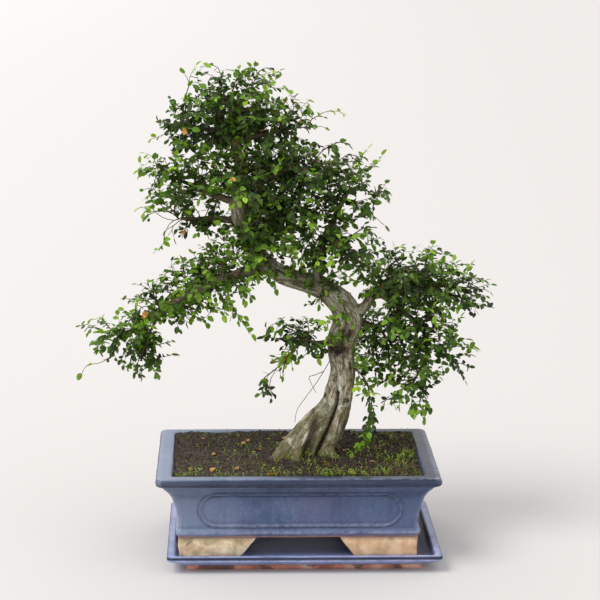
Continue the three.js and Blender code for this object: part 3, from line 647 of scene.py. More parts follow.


# Mottled glaze: three blues, dark pools in hollows, navy lips and painted rim shade, pale wear and painted
# highlights.
def glazed(name, blues, painted_light_tones):
    paint = Paint(name, 0.34, Specular_IOR_Level=0.3)
    wear, pooled, navy_lip_and_rim_shade = paint.split(paint.given("wear"))
    clouds = paint.noise(16, 6, distortion=0.5)
    runs = paint.noise(1, 5, paint.stretched(150, 150, 22))
    grain = paint.noise(900, 2)
    blend = paint.plus(paint.times(clouds, 0.40), paint.times(runs, 0.18))
    blend = paint.plus(blend, paint.times(grain, 0.42))
    body = paint.ramp(blend, (0.38, blues["deep"]), (0.5, blues["middle"]), (0.62, blues["light"]))
    body = paint.coat(body, paint.patches(700, 1, 0.60, 0.66), 0.5, blues["pool"])
    body = paint.coat(body, paint.patches(520, 1, 0.66, 0.72), 0.4, blues["worn_and_highlit"])
    x = paint.split(paint.place)[0]
    violet = [part * share for part, share in zip(blues["light"], (0.7, 0.5, 0.62))]
    body = paint.mix(paint.patches(9, 4, 0.52, 0.62, 0.0, 0.35, distortion=0.4), body, violet)
    # Painted light and shade: each tone lightens or darkens the glaze from one x to another.
    for start, end, share, colour in painted_light_tones:
        body = paint.mix(paint.span(x, start, end, 0.0, share), body, colour)
    smears = paint.patches(1, 5, 0.36, 0.62, 0.88, 1.0, paint.stretched(14, 14, 220))
    # Navy on the lips, and painted shade on the pot's rim top.
    body = paint.coat(body, navy_lip_and_rim_shade, smears, blues["navy"])
    body = paint.coat(body, pooled, paint.patches(60, 4, 0.25, 0.65, 0.5, 1.0), blues["pool"])
    # Pale worn glaze and painted highlights, where the wear mask shows.
    rubbed_and_highlit = paint.times(wear, paint.patches(110, 4, 0.34, 0.58))
    return paint, paint.coat(body, rubbed_and_highlit, 0.8, blues["worn_and_highlit"]), grain


def glaze_relief(paint, grain):
    return paint.plus(paint.times(paint.noise(170, 5), 0.5), paint.times(grain, 0.15))


# The pot's glaze above a wandering edge, and tan clay below it, stained, grimy, with painted shade under the
# pot.
def paint_pot():
    paint, body, grain = glazed("glazed_pot", POT_BLUES, POT_PAINTED_LIGHT_AND_SHADE)
    x, _, z = paint.split(paint.place)
    height = paint.ragged(z, 40, 0.004)
    bare = paint.span(height, 0.0492, 0.0480)
    body = paint.coat(body, paint.span(height, 0.0512, 0.0492), 0.6, (0.21, 0.125, 0.125))
    clay = paint.ramp(paint.noise(55, 7), (0.34, (0.40, 0.29, 0.165)), (0.48, (0.62, 0.47, 0.30)),
                      (0.64, (0.84, 0.72, 0.52)))
    clay = paint.mix(paint.span(x, -0.02, 0.08, 0.0, 0.5), clay, (0.66, 0.37, 0.21))
    clay = paint.coat(clay, paint.patches(30, 6, 0.52, 0.66, distortion=0.8), 0.55, (0.24, 0.22, 0.10))
    clay = paint.coat(clay, paint.patches(75, 5, 0.64, 0.72, distortion=1.0), 0.7, (0.09, 0.07, 0.045))
    # Painted shade: the top of the feet, under the pot's walls, is darker.
    clay = paint.mix(paint.span(z, 0.0400, 0.0455, 0.0, 0.6), clay, (0.17, 0.12, 0.085))
    clay = paint.mix(paint.span(z, 0.0455, 0.0465), clay, (0.36, 0.22, 0.19))
    rough = paint.span(bare, 0, 1, 0.33, 0.9)
    relief = paint.plus(glaze_relief(paint, grain), paint.times(bare, paint.noise(380, 5)))
    return paint.finish(paint.mix(bare, body, clay), rough, relief, 0.35, 0.9)


# The tray's glaze, duller where it pools and with painted shade on its floor at the right, with reddish clay
# on its foot.
def paint_tray():
    paint, body, grain = glazed("glazed_tray", TRAY_BLUES, TRAY_PAINTED_SHADE)
    x, _, z = paint.split(paint.place)
    pooled = paint.split(paint.given("wear"))[1]
    # Painted shade: the tray's floor darkens at its right end, under the pot.
    body = paint.coat(body, pooled, paint.span(x, 0.155, 0.18, 0.0, 0.85), (0.040, 0.041, 0.062))
    bare = paint.span(paint.ragged(z, 30, 0.002), 0.0092, 0.0082)
    clay = paint.ramp(paint.noise(34, 6), (0.36, (0.36, 0.145, 0.105)), (0.5, (0.62, 0.27, 0.185)),
                      (0.66, (0.76, 0.48, 0.38)))
    clay = paint.coat(clay, paint.patches(26, 4, 0.55, 0.60, distortion=0.6), 0.7, (0.08, 0.065, 0.07))
    rough = paint.math("MAXIMUM", paint.span(bare, 0, 1, 0.33, 0.9), paint.times(pooled, 0.5))
    relief = glaze_relief(paint, grain)
    return paint.finish(paint.mix(bare, body, clay), rough, relief, 0.3, 0.8)


# Soil: dark and damp, paler towards the left, with moss, dry fibres and crumbs.
def paint_soil():
    paint = Paint("damp_soil", 0.95, Specular_IOR_Level=0.15)
    moss_share, crumb, _ = paint.split(paint.given("ground"))
    x = paint.split(paint.place)[0]
    base = paint.ramp(paint.noise(330, 6), (0.34, (0.007, 0.005, 0.004)), (0.5, (0.030, 0.022, 0.017)),
                      (0.66, (0.088, 0.067, 0.052)))
    paler_left = paint.times(paint.span(x, 0.02, -0.10, 0.0, 0.32), paint.patches(260, 5, 0.36, 0.56))
    base = paint.mix(paler_left, base, (0.150, 0.125, 0.108))
    moss = paint.ramp(paint.noise(560, 4), (0.35, (0.015, 0.017, 0.006)), (0.6, (0.060, 0.066, 0.019)),
                      (0.75, (0.145, 0.155, 0.050)))
    patch = paint.span(paint.plus(moss_share, paint.minus(paint.noise(150, 6), 0.5)), 0.58, 0.80)
    fibres = paint.patches(1, 3, 0.66, 0.72, vector=paint.stretched(1500, 260, 900), distortion=1.5)
    colour = paint.coat(base, patch, 0.6, moss)
    colour = paint.coat(colour, fibres, 0.5, (0.19, 0.155, 0.10))
    grit = paint.ramp(paint.noise(90, 2), (0.4, (0.030, 0.021, 0.015)), (0.7, (0.17, 0.13, 0.10)))
    return paint.finish(paint.mix(crumb, colour, grit), None, paint.noise(620, 6), 0.8, 1.5)


def paint_screen():
    paint = Paint("screen_plastic", 0.5)
    colour = paint.ramp(paint.noise(300, 3), (0.35, (0.008, 0.008, 0.008)), (0.65, (0.028, 0.028, 0.028)))
    return paint.finish(colour, None, paint.noise(700, 3), 0.2, 0.3)


# Bark: pale plates and brown streaks that follow the wood, moss low down, and painted shade in hollows and
# under leaves.
def paint_bark():
    paint = Paint("bark", 0.85, Specular_IOR_Level=0.25)
    hollow_shade, thick, marks = paint.split(paint.given("bark"))
    grain = paint.given("grain")
    z = paint.split(paint.place)[2]
    streaks = paint.noise(1, 6, paint.stretched(1.0, 1.0, 0.26, grain), 1.0)
    fine = paint.noise(1, 6, paint.stretched(4.2, 4.2, 0.9, grain), 0.8)
    blend = paint.plus(paint.times(streaks, 0.55), paint.times(fine, 0.45))
    colour = paint.ramp(blend, (0.37, (0.040, 0.027, 0.014)), (0.44, (0.150, 0.120, 0.070)),
                        (0.50, (0.31, 0.285, 0.195)), (0.57, (0.52, 0.50, 0.40)), (0.66, (0.72, 0.71, 0.62)))
    colour = paint.coat(colour, paint.patches(34, 6, 0.54, 0.60, distortion=0.9), 0.5, (0.20, 0.115, 0.060))
    light = paint.ramp(fine, (0.36, (0.16, 0.13, 0.08)), (0.46, (0.55, 0.55, 0.46)),
                       (0.6, (0.80, 0.80, 0.72)))
    colour = paint.coat(colour, marks, -0.85, light)
    green = paint.ramp(paint.noise(330, 5), (0.3, (0.040, 0.042, 0.012)), (0.7, (0.170, 0.165, 0.060)))
    low = paint.span(z, 0.13, 0.27, 0.70, 0.40)
    mossy = paint.span(paint.minus(low, paint.noise(44, 6, distortion=0.7)), 0.0, 0.10)
    colour = paint.coat(colour, mossy, 0.68, green)
    # Painted shade under the foliage: the wood above 340 mm darkens in patches.
    high = paint.times(paint.span(z, 0.34, 0.40, 0.0, 0.55), paint.patches(30, 5, 0.40, 0.60))
    colour = paint.mix(high, colour, (0.12, 0.11, 0.07))
    foot = paint.times(paint.span(z, 0.165, 0.130), paint.patches(50, 5, 0.30, 0.60))
    colour = paint.coat(colour, foot, 0.7, (0.060, 0.048, 0.022))
    pits = paint.patches(1, 3, 0.64, 0.70, vector=paint.stretched(9, 9, 3.4, grain))
    colour = paint.coat(colour, pits, 0.8, (0.040, 0.026, 0.014))
    bands = paint.patches(1, 4, 0.60, 0.64, vector=paint.stretched(1.2, 1.2, 2.6, grain), distortion=1.4)
    colour = paint.coat(colour, bands, 0.4, (0.10, 0.065, 0.035))
    # Painted shade in the hollows and cracks.
    colour = paint.coat(colour, hollow_shade, 0.96, (0.022, 0.015, 0.010))
    twig = paint.ramp(paint.noise(260, 4), (0.35, (0.034, 0.022, 0.013)), (0.65, (0.15, 0.105, 0.065)))
    colour = paint.mix(thick, twig, colour)
    gnarled = paint.ramp(paint.noise(150, 6, distortion=0.8), (0.35, (0.008, 0.006, 0.004)),
                         (0.55, (0.055, 0.036, 0.024)), (0.7, (0.17, 0.12, 0.08)))
    colour = paint.mix(marks, colour, gnarled)
    height = paint.plus(paint.times(paint.noise(300, 5), 0.5), blend)
    return paint.finish(colour, None, height, 0.8, 2.0)


# Leaves: dark and glossy inside, lime at the young tips, some dry. Veins come from the place on the blade.
def paint_leaf():
    paint = Paint("leaf", 0.4, Specular_IOR_Level=0.22)
    young, bright, dry = paint.split(paint.given("tint"))
    run, across, _ = paint.split(paint.given("blade"))
    green = paint.ramp(young, (0.0, (0.0060, 0.0170, 0.0055)), (0.28, (0.022, 0.054, 0.0070)),
                       (0.58, (0.085, 0.185, 0.0100)), (1.0, (0.215, 0.365, 0.028)))
    brown = paint.ramp(paint.noise(260, 3), (0.35, (0.22, 0.080, 0.022)), (0.65, (0.58, 0.32, 0.12)))
    colour = paint.mix(dry, green, brown)
    mottle = paint.plus(paint.times(paint.noise(380, 3), 0.5), bright)
    shade = paint.ramp(mottle, (0.2, (0.50, 0.58, 0.62)), (1.0, (1.4, 1.3, 1.05)))
    colour = paint.mix(1.0, colour, shade, "MULTIPLY")
    side = paint.math("ABSOLUTE", across)
    middle = paint.math("LESS_THAN", side, 0.07)
    slant = paint.minus(paint.times(run, 9.0), paint.times(side, 2.2))
    ribs = paint.math("GREATER_THAN", paint.math("SINE", paint.times(slant, 2 * math.pi)), 0.86)
    vein = paint.math("MAXIMUM", middle, paint.times(ribs, 0.45))
    colour = paint.coat(colour, vein, 0.35, (0.20, 0.30, 0.08))
    paint.finish(colour, paint.span(bright, 0.25, 0.8, 0.62, 0.34), paint.minus(1.0, vein), 0.35, 0.25)
    glow = paint.node("BsdfTranslucent")
    paint.fill(glow, Color=paint.mix(1.0, colour, (1.5, 1.75, 0.7), "MULTIPLY"))
    both = paint.node("MixShader", 0.2, paint.shader.outputs[0], glow.outputs[0])
    output = next(node for node in paint.nodes if node.type == "OUTPUT_MATERIAL")
    paint.links.new(both.outputs[0], output.inputs["Surface"])
    return paint.material


BARK = paint_bark()
LEAF = paint_leaf()
GLAZE = paint_pot()
TRAY_GLAZE = paint_tray()
EARTH = paint_soil()
SCREEN = paint_screen()


# A line of corners with each corner rounded off.
def eased(corners, reach, steps, closed=False):
    rows = np.array(corners, float)
    out = []
    for i, corner in enumerate(rows):
        if not closed and i in (0, len(rows) - 1):
            out.append(corner)
            continue
        before, after = rows[i - 1] - corner, rows[(i + 1) % len(rows)] - corner
        start = corner + unit(before) * min(reach, 0.45 * np.linalg.norm(before))
        end = corner + unit(after) * min(reach, 0.45 * np.linalg.norm(after))
        for share in np.linspace(0, 1, steps):
            out.append((1 - share) ** 2 * start + 2 * share * (1 - share) * corner + share ** 2 * end)
    return np.array(out)


# A line of corners with points set between them, no further apart than the pitch.
def spaced(rows, pitch, closed=False):
    out = []
    ends = list(rows[1:]) + ([rows[0]] if closed else [])
    for start, end in zip(rows, ends):
        count = max(1, math.ceil(np.linalg.norm(end - start) / pitch))
        out += [start + (end - start) * k / count for k in range(count)]
    return np.array(out if closed else out + [rows[-1]])


# A rectangle with round corners: its points, and the direction out at each.
def rectangle(half_width, half_depth, corner, steps, along_x, along_y):
    points, outs = [], []
    signs = [(1, 1), (-1, 1), (-1, -1), (1, -1)]
    for quarter, sign in enumerate(signs):
        centre = np.array(sign) * (half_width - corner, half_depth - corner)
        for step in range(steps + 1):
            angle = (quarter + step / steps) * math.pi / 2
            out = np.array([math.cos(angle), math.sin(angle)])
            points.append(centre + corner * out)
            outs.append(out)
        count = along_x if quarter % 2 == 0 else along_y
        start = points[-1]
        end = signs[(quarter + 1) % 4] * np.array([half_width - corner, half_depth - corner]) + corner * out
        points += [start + (end - start) * k / (count + 1) for k in range(1, count + 1)]
        outs += [out] * count
    return np.array(points), np.array(outs)


# Rings of a pressed vessel, one for each (inset, height): their points, and the direction out at each.
def pressed(size, rows, steps=6, along_x=120, along_y=80):
    rings, outs = [], []
    for inset, z in rows:
        corner = size["corner"] * max(0.4, 1 - inset / 80)
        half_width, half_depth = size["width"] / 2 - inset, size["depth"] / 2 - inset
        flat, out = rectangle(half_width, half_depth, corner, steps, along_x, along_y)
        rings.append(np.column_stack([flat[:, 0] + size["x"], flat[:, 1], np.full(len(flat), z)]))
        outs.append(np.column_stack([out, np.zeros(len(out))]))
    return np.array(rings), np.array(outs)


# How far places lie outside the edge of a panel with round ends.
def stadium(x, z, length, height):
    straight = length / 2 - height / 2
    return np.hypot(np.maximum(np.abs(x) - straight, 0), z) - height / 2


# How far each point of the walls lies outside its panel's edge.
def panel_edge(points, outs):
    z = points[..., 2] - PANEL["z"]
    front = stadium(points[..., 0] - PANEL["x"], z, PANEL["length"], PANEL["height"])
    end = stadium(points[..., 1], z, PANEL["end_length"], PANEL["end_height"])
    return np.where(np.abs(outs[..., 1]) > 0.99, front, np.where(np.abs(outs[..., 0]) > 0.99, end, 50.0))


# How strong the bumps of a table are on the rows of a profile.
def ridges(rows, table):
    inset, z = rows.T
    total = np.zeros(len(rows))
    for share, height, reach, least, most in table:
        total += share * bump(z, height, reach) * (inset > least) * (inset < most)
    return total


def lip_face(z, vessel, outside):
    start, full, end, fade = LIPS[vessel]
    return rise(z, start, full) * rise(z, end, fade) * outside


# At each point of the pot's walls: wear with painted highlights, pooled glaze, and navy lip with painted rim
# shade.
def pot_wear(rows, points, outs, edge, outside):
    inset, z = rows.T
    corner = (np.abs(outs[0, :, 0] * outs[0, :, 1]) > 0.15) * 0.4
    worn_and_highlit = ridges(rows, POT_WORN_AND_HIGHLIT)[:, None] + corner[None, :] * outside + bumps(edge, PANEL_WORN_AND_HIGHLIT)
    pooled = ridges(rows, POT_POOLED)[:, None] * outside + bumps(edge, PANEL_POOLED)
    face = lip_face(z, "pot", outside[:, 0])
    # Painted shade: the rim top turns navy, more so towards the right.
    rim = (z > 137) * (1 - face) * (inset < 24)
    rim_shade = np.clip((points[0, :, 0] + 70) / 140, 0.08, 1)
    face = face * (0.84 + bumps(z, LIP_DARK))
    navy = face[:, None] + 0.9 * rim[:, None] * rim_shade[None, :]
    return np.clip(np.stack([worn_and_highlit, pooled, navy], -1), 0, 1).reshape(-1, 3)


def make_pot():
    sheet = Sheet("wear")
    under = FOOT["inset"] + FOOT["wall"] - POT_FLOOR["lap"]
    low, high = POT_FLOOR["bottom"], POT_FLOOR["top"]
    loop = [(under, low), *POT_OUTER, *POT_INNER, (POT_INNER[-1][0], high - 4), (under + 2, low + 2)]
    rows = spaced(eased(loop, 1.0, 3, closed=True), 3.0, closed=True)
    points, outs = pressed(POT, rows)
    outside = (np.arange(len(rows)) < np.argmax(rows[:, 1]))[:, None]
    edge = np.where(outside, panel_edge(points, outs), 50.0)
    sunk = np.clip(0.5 - edge / PANEL["slope"], 0, 1)
    depth = PANEL["recess"] * sunk * sunk * (3 - 2 * sunk) - bumps(edge, PANEL_LINE)
    flat = points.reshape(-1, 3)
    flat = flat - outs.reshape(-1, 3) * (depth.reshape(-1) - uneven(flat, "pot"))[:, None]
    flat[:, 2] += 0.2 * noise(flat / 22, 31)
    wear = pot_wear(rows, points, outs, edge, outside)
    sheet.add(flat, band(len(rows), points.shape[1], closed_rows=True), wear=wear)
    sheet.add(*floor_plate())
    for sign_x in (-1, 1):
        for sign_y in (-1, 1):
            add_foot(sheet, sign_x, sign_y)
    return sheet.mesh("pot_body")


# The pot's floor, with its two drain holes.
def floor_plate():
    curve = bpy.data.curves.new("floor_plate", "CURVE")
    curve.dimensions = "2D"
    curve.fill_mode = "BOTH"
    low, high = POT_FLOOR["bottom"] + 0.3, POT_FLOOR["top"]
    curve.extrude = (high - low) / 2
    width, depth = (POT[key] / 2 - POT_FLOOR["inset"] for key in ("width", "depth"))
    rings = [[(width, depth), (-width, depth), (-width, -depth), (width, -depth)]]
    circle = DRAIN["radius"] * directions(round_turns(32))
    rings += [circle + (x, 0) for x in (-DRAIN["x"], DRAIN["x"])]
    for ring in rings:
        spline = curve.splines.new("POLY")
        spline.points.add(len(ring) - 1)
        spline.use_cyclic_u = True
        for point, (x, y) in zip(spline.points, ring):
            point.co = (x, y, 0, 1)
    carrier = bpy.data.objects.new("floor_plate", curve)
    mesh = bpy.data.meshes.new_from_object(carrier)
    mesh.calc_loop_triangles()
    points, triangles = fetched(mesh.vertices, "co"), fetched(mesh.loop_triangles, "vertices", int)
    bpy.data.objects.remove(carrier)
    bpy.data.meshes.remove(mesh)
    bpy.data.curves.remove(curve)
    return points + (0, 0, (low + high) / 2), triangles


# One L-shaped foot of rough clay, whose ends lean with the arches beside it.
def add_foot(sheet, sign_x, sign_y):
    levels = [*FOOT_EDGE, *((height, 0) for height in np.linspace(5, FOOT["high"], 10))]
    rings = []
    for height, shrink in levels:
        z = FOOT["bottom"] + height
        front, side = (
            np.interp(z, (ARCH["foot"], ARCH["top"]), (ARCH[face + "_bottom"], ARCH[face + "_top"])) + shrink
            for face in ("front", "side"))
        x = POT["width"] / 2 - FOOT["inset"] - shrink
        y = POT["depth"] / 2 - FOOT["inset"] - shrink
        inner_x, inner_y = (reach + 2 * shrink - FOOT["wall"] for reach in (x, y))
        outline = [(front, y), (front, inner_y), (inner_x, inner_y), (inner_x, side), (x, side), (x, y)]
        ring = eased(outline, FOOT["round"], 4, closed=True)
        shares = np.linspace(0, 1, 7)[:-1, None]
        ends = zip(ring, np.roll(ring, -1, axis=0))
        fine = np.concatenate([start + (end - start) * shares for start, end in ends])
        rings.append(np.column_stack([fine * (sign_x, sign_y), np.full(len(fine), z)]))
    points = np.array(rings)
    flat = points.reshape(-1, 3)
    out = uneven(flat, "foot").reshape(points.shape[:2])
    middle = points.mean(axis=1, keepdims=True)
    points[..., :2] += unit(points - middle)[..., :2] * out[..., None]
    lift = np.clip(1.8 * noise(flat / 16, 23), 0, 2) * np.clip(1 - (flat[:, 2] - FOOT["bottom"]) / 7, 0, 1)
    points[..., 2] += lift.reshape(points.shape[:2])
    base = np.array(tessellate_polygon([[Vector((x, y, 0)) for x, y, _ in points[0]]]))
    triangles = np.concatenate([band(len(levels), points.shape[1]), base])
    sheet.add(points, triangles[:, ::-1] if sign_x * sign_y > 0 else triangles)


def make_tray():
    sheet = Sheet("wear")
    rows = spaced(eased(TRAY_PROFILE, 0.8, 3), 3.4)
    points, outs = pressed(TRAY, rows, along_x=84, along_y=56)
    flat = points.reshape(-1, 3)
    flat = flat + outs.reshape(-1, 3) * uneven(flat, "tray")[:, None]
    flat[:, 2] = np.maximum(flat[:, 2] + np.where(flat[:, 2] > 1, 0.15 * noise(flat / 20, 14), 0), 0)
    inset, z = rows.T
    outer = np.arange(len(rows)) < np.argmax(z)
    # Painted highlights: pale glaze on the lip's lower edge and on its top face, along with real wear.
    worn_and_highlit = ridges(rows, TRAY_WORN_AND_HIGHLIT) * outer + 0.6 * (z > 25.3) * (inset > 4)
    pooled = 0.7 * bump(z, 18.5, 0.6) * outer + ~outer * rise(z, 25.5, 22.5)
    wear = np.clip(np.column_stack([worn_and_highlit, pooled, lip_face(z, "tray", outer)]), 0, 1)
    columns = points.shape[1]
    centres = [(TRAY["x"], 0, z[0]), (TRAY["x"], 0, z[-1])]
    wear = np.vstack([np.repeat(wear, columns, axis=0), wear[0], wear[-1]])
    sheet.add(np.vstack([flat, centres]), capped(len(rows), columns), wear=wear)
    return sheet.mesh("tray_body")


# The soil's surface: a mound round the trunk, higher at the back, with clods and crumbs.
def soil_height(x, y):
    away = ((x - MOUND["x"]) ** 2 + (y - MOUND["y"]) ** 2) / MOUND["reach"] ** 2
    clods = np.sin(x * 0.11 + 1.3) * np.cos(y * 0.13) + np.sin(x * 0.05 + y * 0.09)
    back = SOIL["back"] * rise(y, -10, 80)
    spots = np.column_stack([x, y, np.zeros(len(x))])
    crumbs = 1.4 * fractal(spots / 14, 2, 40) + 1.4 * np.abs(fractal(spots / 5.5, 3, 44))
    return SOIL["edge"] + MOUND["height"] * np.exp(-away) + SOIL["clod"] * clods + back + crumbs - 0.6


# The place on the soil at one (x, y), or a little below it.
def on_soil(x, y, sunk=0.0):
    return np.array([x, y, soil_height(np.array([x]), np.array([y]))[0] - sunk])


def make_soil():
    sheet = Sheet("ground", "tint", "blade")
    half_x, half_y = (POT[key] / 2 - SOIL["inset"] for key in ("width", "depth"))
    columns, rows = (int(2 * half / SOIL["pitch"]) + 1 for half in (half_x, half_y))
    x, y = (grid.ravel() for grid in np.meshgrid(
        np.linspace(-half_x, half_x, columns), np.linspace(-half_y, half_y + 1.4, rows)))
    z = soil_height(x, y)
    spots = np.column_stack([x, y, np.zeros(len(x))])
    right, trunk, front = rise(x, 110, 160), bump(x, 5, 50) * bump(y, -20, 50), rise(y, -85, -115)
    moss = 0.42 + 0.4 * fractal(spots / 34, 3, 51) + 0.3 * right + 0.2 * trunk + 0.2 * front
    cell = (np.arange(rows - 1)[:, None] * columns + np.arange(columns - 1)[None, :]).ravel()
    top = np.concatenate([
        np.stack([cell, cell + 1, cell + columns + 1], -1),
        np.stack([cell, cell + columns + 1, cell + columns], -1),
    ])
    sheet.add(np.column_stack([x, y, z]), top, ground=np.outer(np.clip(moss, 0, 1), (1, 0, 0)))
    edge = np.concatenate([
        np.arange(columns),
        np.arange(1, rows) * columns + columns - 1,
        (rows - 1) * columns + np.arange(columns - 2, -1, -1),
        np.arange(rows - 2, 0, -1) * columns,
    ])
    rim = np.column_stack([x[edge], y[edge], z[edge]])
    foot = rim * (0.92, 0.9, 0) + (0, 0, SOIL["bottom"])
    count = len(rim)
    skirt = np.concatenate([band(2, count)[:, ::-1], fan(count, count, 2 * count, turned=True)])
    sheet.add(np.vstack([rim, foot, (0, 0, SOIL["bottom"])]), skirt, ground=(0.2, 0, 0))
    random = np.random.default_rng(61)
    add_crumbs(sheet, random)
    add_weeds(sheet, random)
    add_threads(sheet, random)
    add_litter(sheet, random)
    return sheet.mesh("soil_body")


# Small crumbs and grit half sunk in the soil.
def add_crumbs(sheet, random):
    count = CRUMBS["count"]
    x, y = (random.uniform(-reach, reach, count) for reach in CRUMBS["reach"])
    size = random.uniform(*CRUMBS["size"], count) * np.where(random.random(count) < 0.05, 1.8, 1)
    centre = np.column_stack([x, y, soil_height(x, y) + size * 0.25])
    shape = np.array([(1, 0, 0), (0, 1, 0), (-1, 0, 0), (0, -1, 0), (0, 0, 1), (0, 0, -1)], float)
    faces = np.array([(0, 1, 4), (1, 2, 4), (2, 3, 4), (3, 0, 4), (1, 0, 5), (2, 1, 5), (3, 2, 5), (0, 3, 5)])
    points = centre[:, None] + shape * size[:, None, None] * random.uniform(0.7, 1.25, (count, 6, 1))
    triangles = faces[None] + 6 * np.arange(count)[:, None, None]
    share = np.repeat(random.random(count) < 0.5, 6) * 0.8
    sheet.add(points, triangles, ground=np.outer(share, (0, 1, 0)))


# Lime seedlings with pale stems.
def add_weeds(sheet, random):
    plants = []
    while len(plants) < WEEDS["count"]:
        x, y = (random.uniform(-reach, reach) for reach in WEEDS["reach"])
        front, end = bump(y, *WEEDS["front"]), bump(x, *WEEDS["end"])
        trunk = math.prod(bump(part, *place) for part, place in zip((x, y), WEEDS["trunk"]))
        thick = max(share * near for share, near in zip(WEEDS["shares"], (front, end, trunk, 1)))
        tuft = 0.5 + 0.8 * noise(np.array([(x / 15, y / 15, 7.0)]), 66)[0]
        if random.random() > thick * max(0, tuft):
            continue
        foot = on_soil(x, y, 0.8)
        high = random.uniform(*WEEDS["high"]) * (1 + 0.35 * end)
        lean = np.append(random.normal(0, 0.42, 2), 1.0)
        tip = foot + lean * high
        bend = foot + lean * (0.3, 0.3, 0.62) * high
        stem = np.column_stack([[foot, bend, tip], (0.3, 0.24, 0.16)])
        sheet.add(*tube(stem, 3), 1, tint=(1.0, random.uniform(0.6, 1.0), random.uniform(0, 0.5)))
        leaves = random.integers(1, 5)
        turns = random.random() * 6.3 + np.arange(leaves) * 2.4
        starts = foot + (tip - foot) * np.linspace(1, 0.62, leaves)[:, None]
        headings = np.column_stack([directions(turns), random.uniform(0.1, 0.8, leaves)])
        facings = np.tile(UP, (leaves, 1)) + random.normal(0, 0.2, (leaves, 3))
        longs = random.uniform(*WEEDS["long"], leaves)
        tint = (random.uniform(0.8, 1.0), random.uniform(0.4, 0.9), 0)
        plants.append((starts, headings, facings, longs, np.tile(tint, (leaves, 1))))
    add_leaves(sheet, *(np.concatenate(part) for part in zip(*plants)), random, WEEDS["wide"])


# Dry pale threads that lie on the soil or stick out of it, more of them at the right end.
def add_threads(sheet, random):
    reach_x, reach_y = THREADS["reach"]
    for _ in range(THREADS["count"]):
        left = THREADS["right"] if random.random() < 0.4 else -reach_x
        foot = on_soil(random.uniform(left, reach_x), random.uniform(-reach_y, reach_y))
        way = np.append(random.normal(0, 1, 2), random.uniform(0.15, 0.9))
        long = random.uniform(*THREADS["long"])
        ends = [foot, foot + way * long * 0.5 + (0, 0, 1.2), foot + way * (long, long, 0.6 * long)]
        line = np.column_stack([ends, (0.26, 0.22, 0.12)])
        sheet.add(*tube(line, 3), 1, tint=(1.0, random.uniform(0.2, 1.0), random.uniform(0.5, 1.0)))


# Dry leaves on the soil: large ones where they stand out, the others at random.
def add_litter(sheet, random):
    count = LITTER["count"]
    spots = np.column_stack([random.uniform(-reach, reach, count) for reach in LITTER["reach"]])
    x, y = np.vstack([LITTER_PLACES, spots]).T
    total = len(x)
    turns = random.uniform(0, 2 * math.pi, total)
    starts = np.column_stack([x, y, soil_height(x, y) + random.uniform(0.8, 2.2, total)])
    headings = np.column_stack([directions(turns), random.normal(0.1, 0.25, total)])
    facings = UP + random.normal(0, 0.4, (total, 3))
    large = random.uniform(*LITTER["large"], len(LITTER_PLACES))
    longs = np.append(large, random.uniform(*LITTER["long"], count))
    tints = np.column_stack([random.uniform(0, 0.3, total), random.uniform(0.3, 0.9, total), np.ones(total)])
    add_leaves(sheet, starts, headings, facings, longs, tints, random)


# Thick wood melted into one skin: its points, normals and triangles.
def melted(sheet, voxel):
    rough = add_object("rough", sheet.mesh("rough"))
    remesh = rough.modifiers.new("remesh", "REMESH")
    remesh.mode = "VOXEL"
    remesh.voxel_size = voxel * MM
    smooth = rough.modifiers.new("smooth", "SMOOTH")
    smooth.iterations = 4
    bpy.context.view_layer.update()
    mesh = bpy.data.meshes.new_from_object(rough.evaluated_get(bpy.context.evaluated_depsgraph_get()))
    mesh.calc_loop_triangles()
    bpy.data.objects.remove(rough)
    points, normals = fetched(mesh.vertices, "co"), fetched(mesh.vertices, "normal")
    return points / MM, normals, fetched(mesh.loop_triangles, "vertices", int)


# Where points lie round the nearest of several lines: the direction across, the run along it, its radius.
def beside(points, lines):
    best = np.full(len(points), 1e9)
    around, run, radius = np.zeros((len(points), 2)), np.zeros(len(points)), np.zeros(len(points))
    for line in lines:
        _, side, across = frames(line[:, :3])
        steps = distances(line[:, :3])
        away = np.linalg.norm(points[:, None] - line[None, :, :3], axis=2) - line[None, :, 3]
        nearest = away.argmin(axis=1)
        distance = away[np.arange(len(points)), nearest]
        closer = distance < best
        chosen = nearest[closer]
        arm = points[closer] - line[chosen, :3]
        along = unit(np.gradient(line[:, :3], axis=0))[chosen]
        forward = (arm * along).sum(1)
        arm = unit(arm - along * forward[:, None])
        around[closer] = np.column_stack([(arm * side[chosen]).sum(1), (arm * across[chosen]).sum(1)])
        run[closer] = steps[chosen] + forward + 211.7 * line[0, 0]
        radius[closer] = line[chosen, 3]
        best = np.minimum(best, distance)
    return around, run, radius


# How near points on the front lie to a line or spot of (x, z): from 1 on it to 0 well beyond its reach.
def on_front(points, normals, places, reach):
    line = spaced(np.array(places, float), 3.0) if len(places) > 1 else np.array(places, float)
    away = np.linalg.norm(points[:, None, ::2] - line[None], axis=2).min(axis=1)
    return np.exp(-(away / reach) ** 2) * np.clip(-2.5 * normals[:, 1], 0, 1)


# Where points lie in the grain of the bark, and how thick the wood is there, from 0 to 1.
def bark_values(around, run, radius):
    return np.column_stack([around * radius[:, None] / 6, run / 6]), rise(radius, 3.5, 9.5)


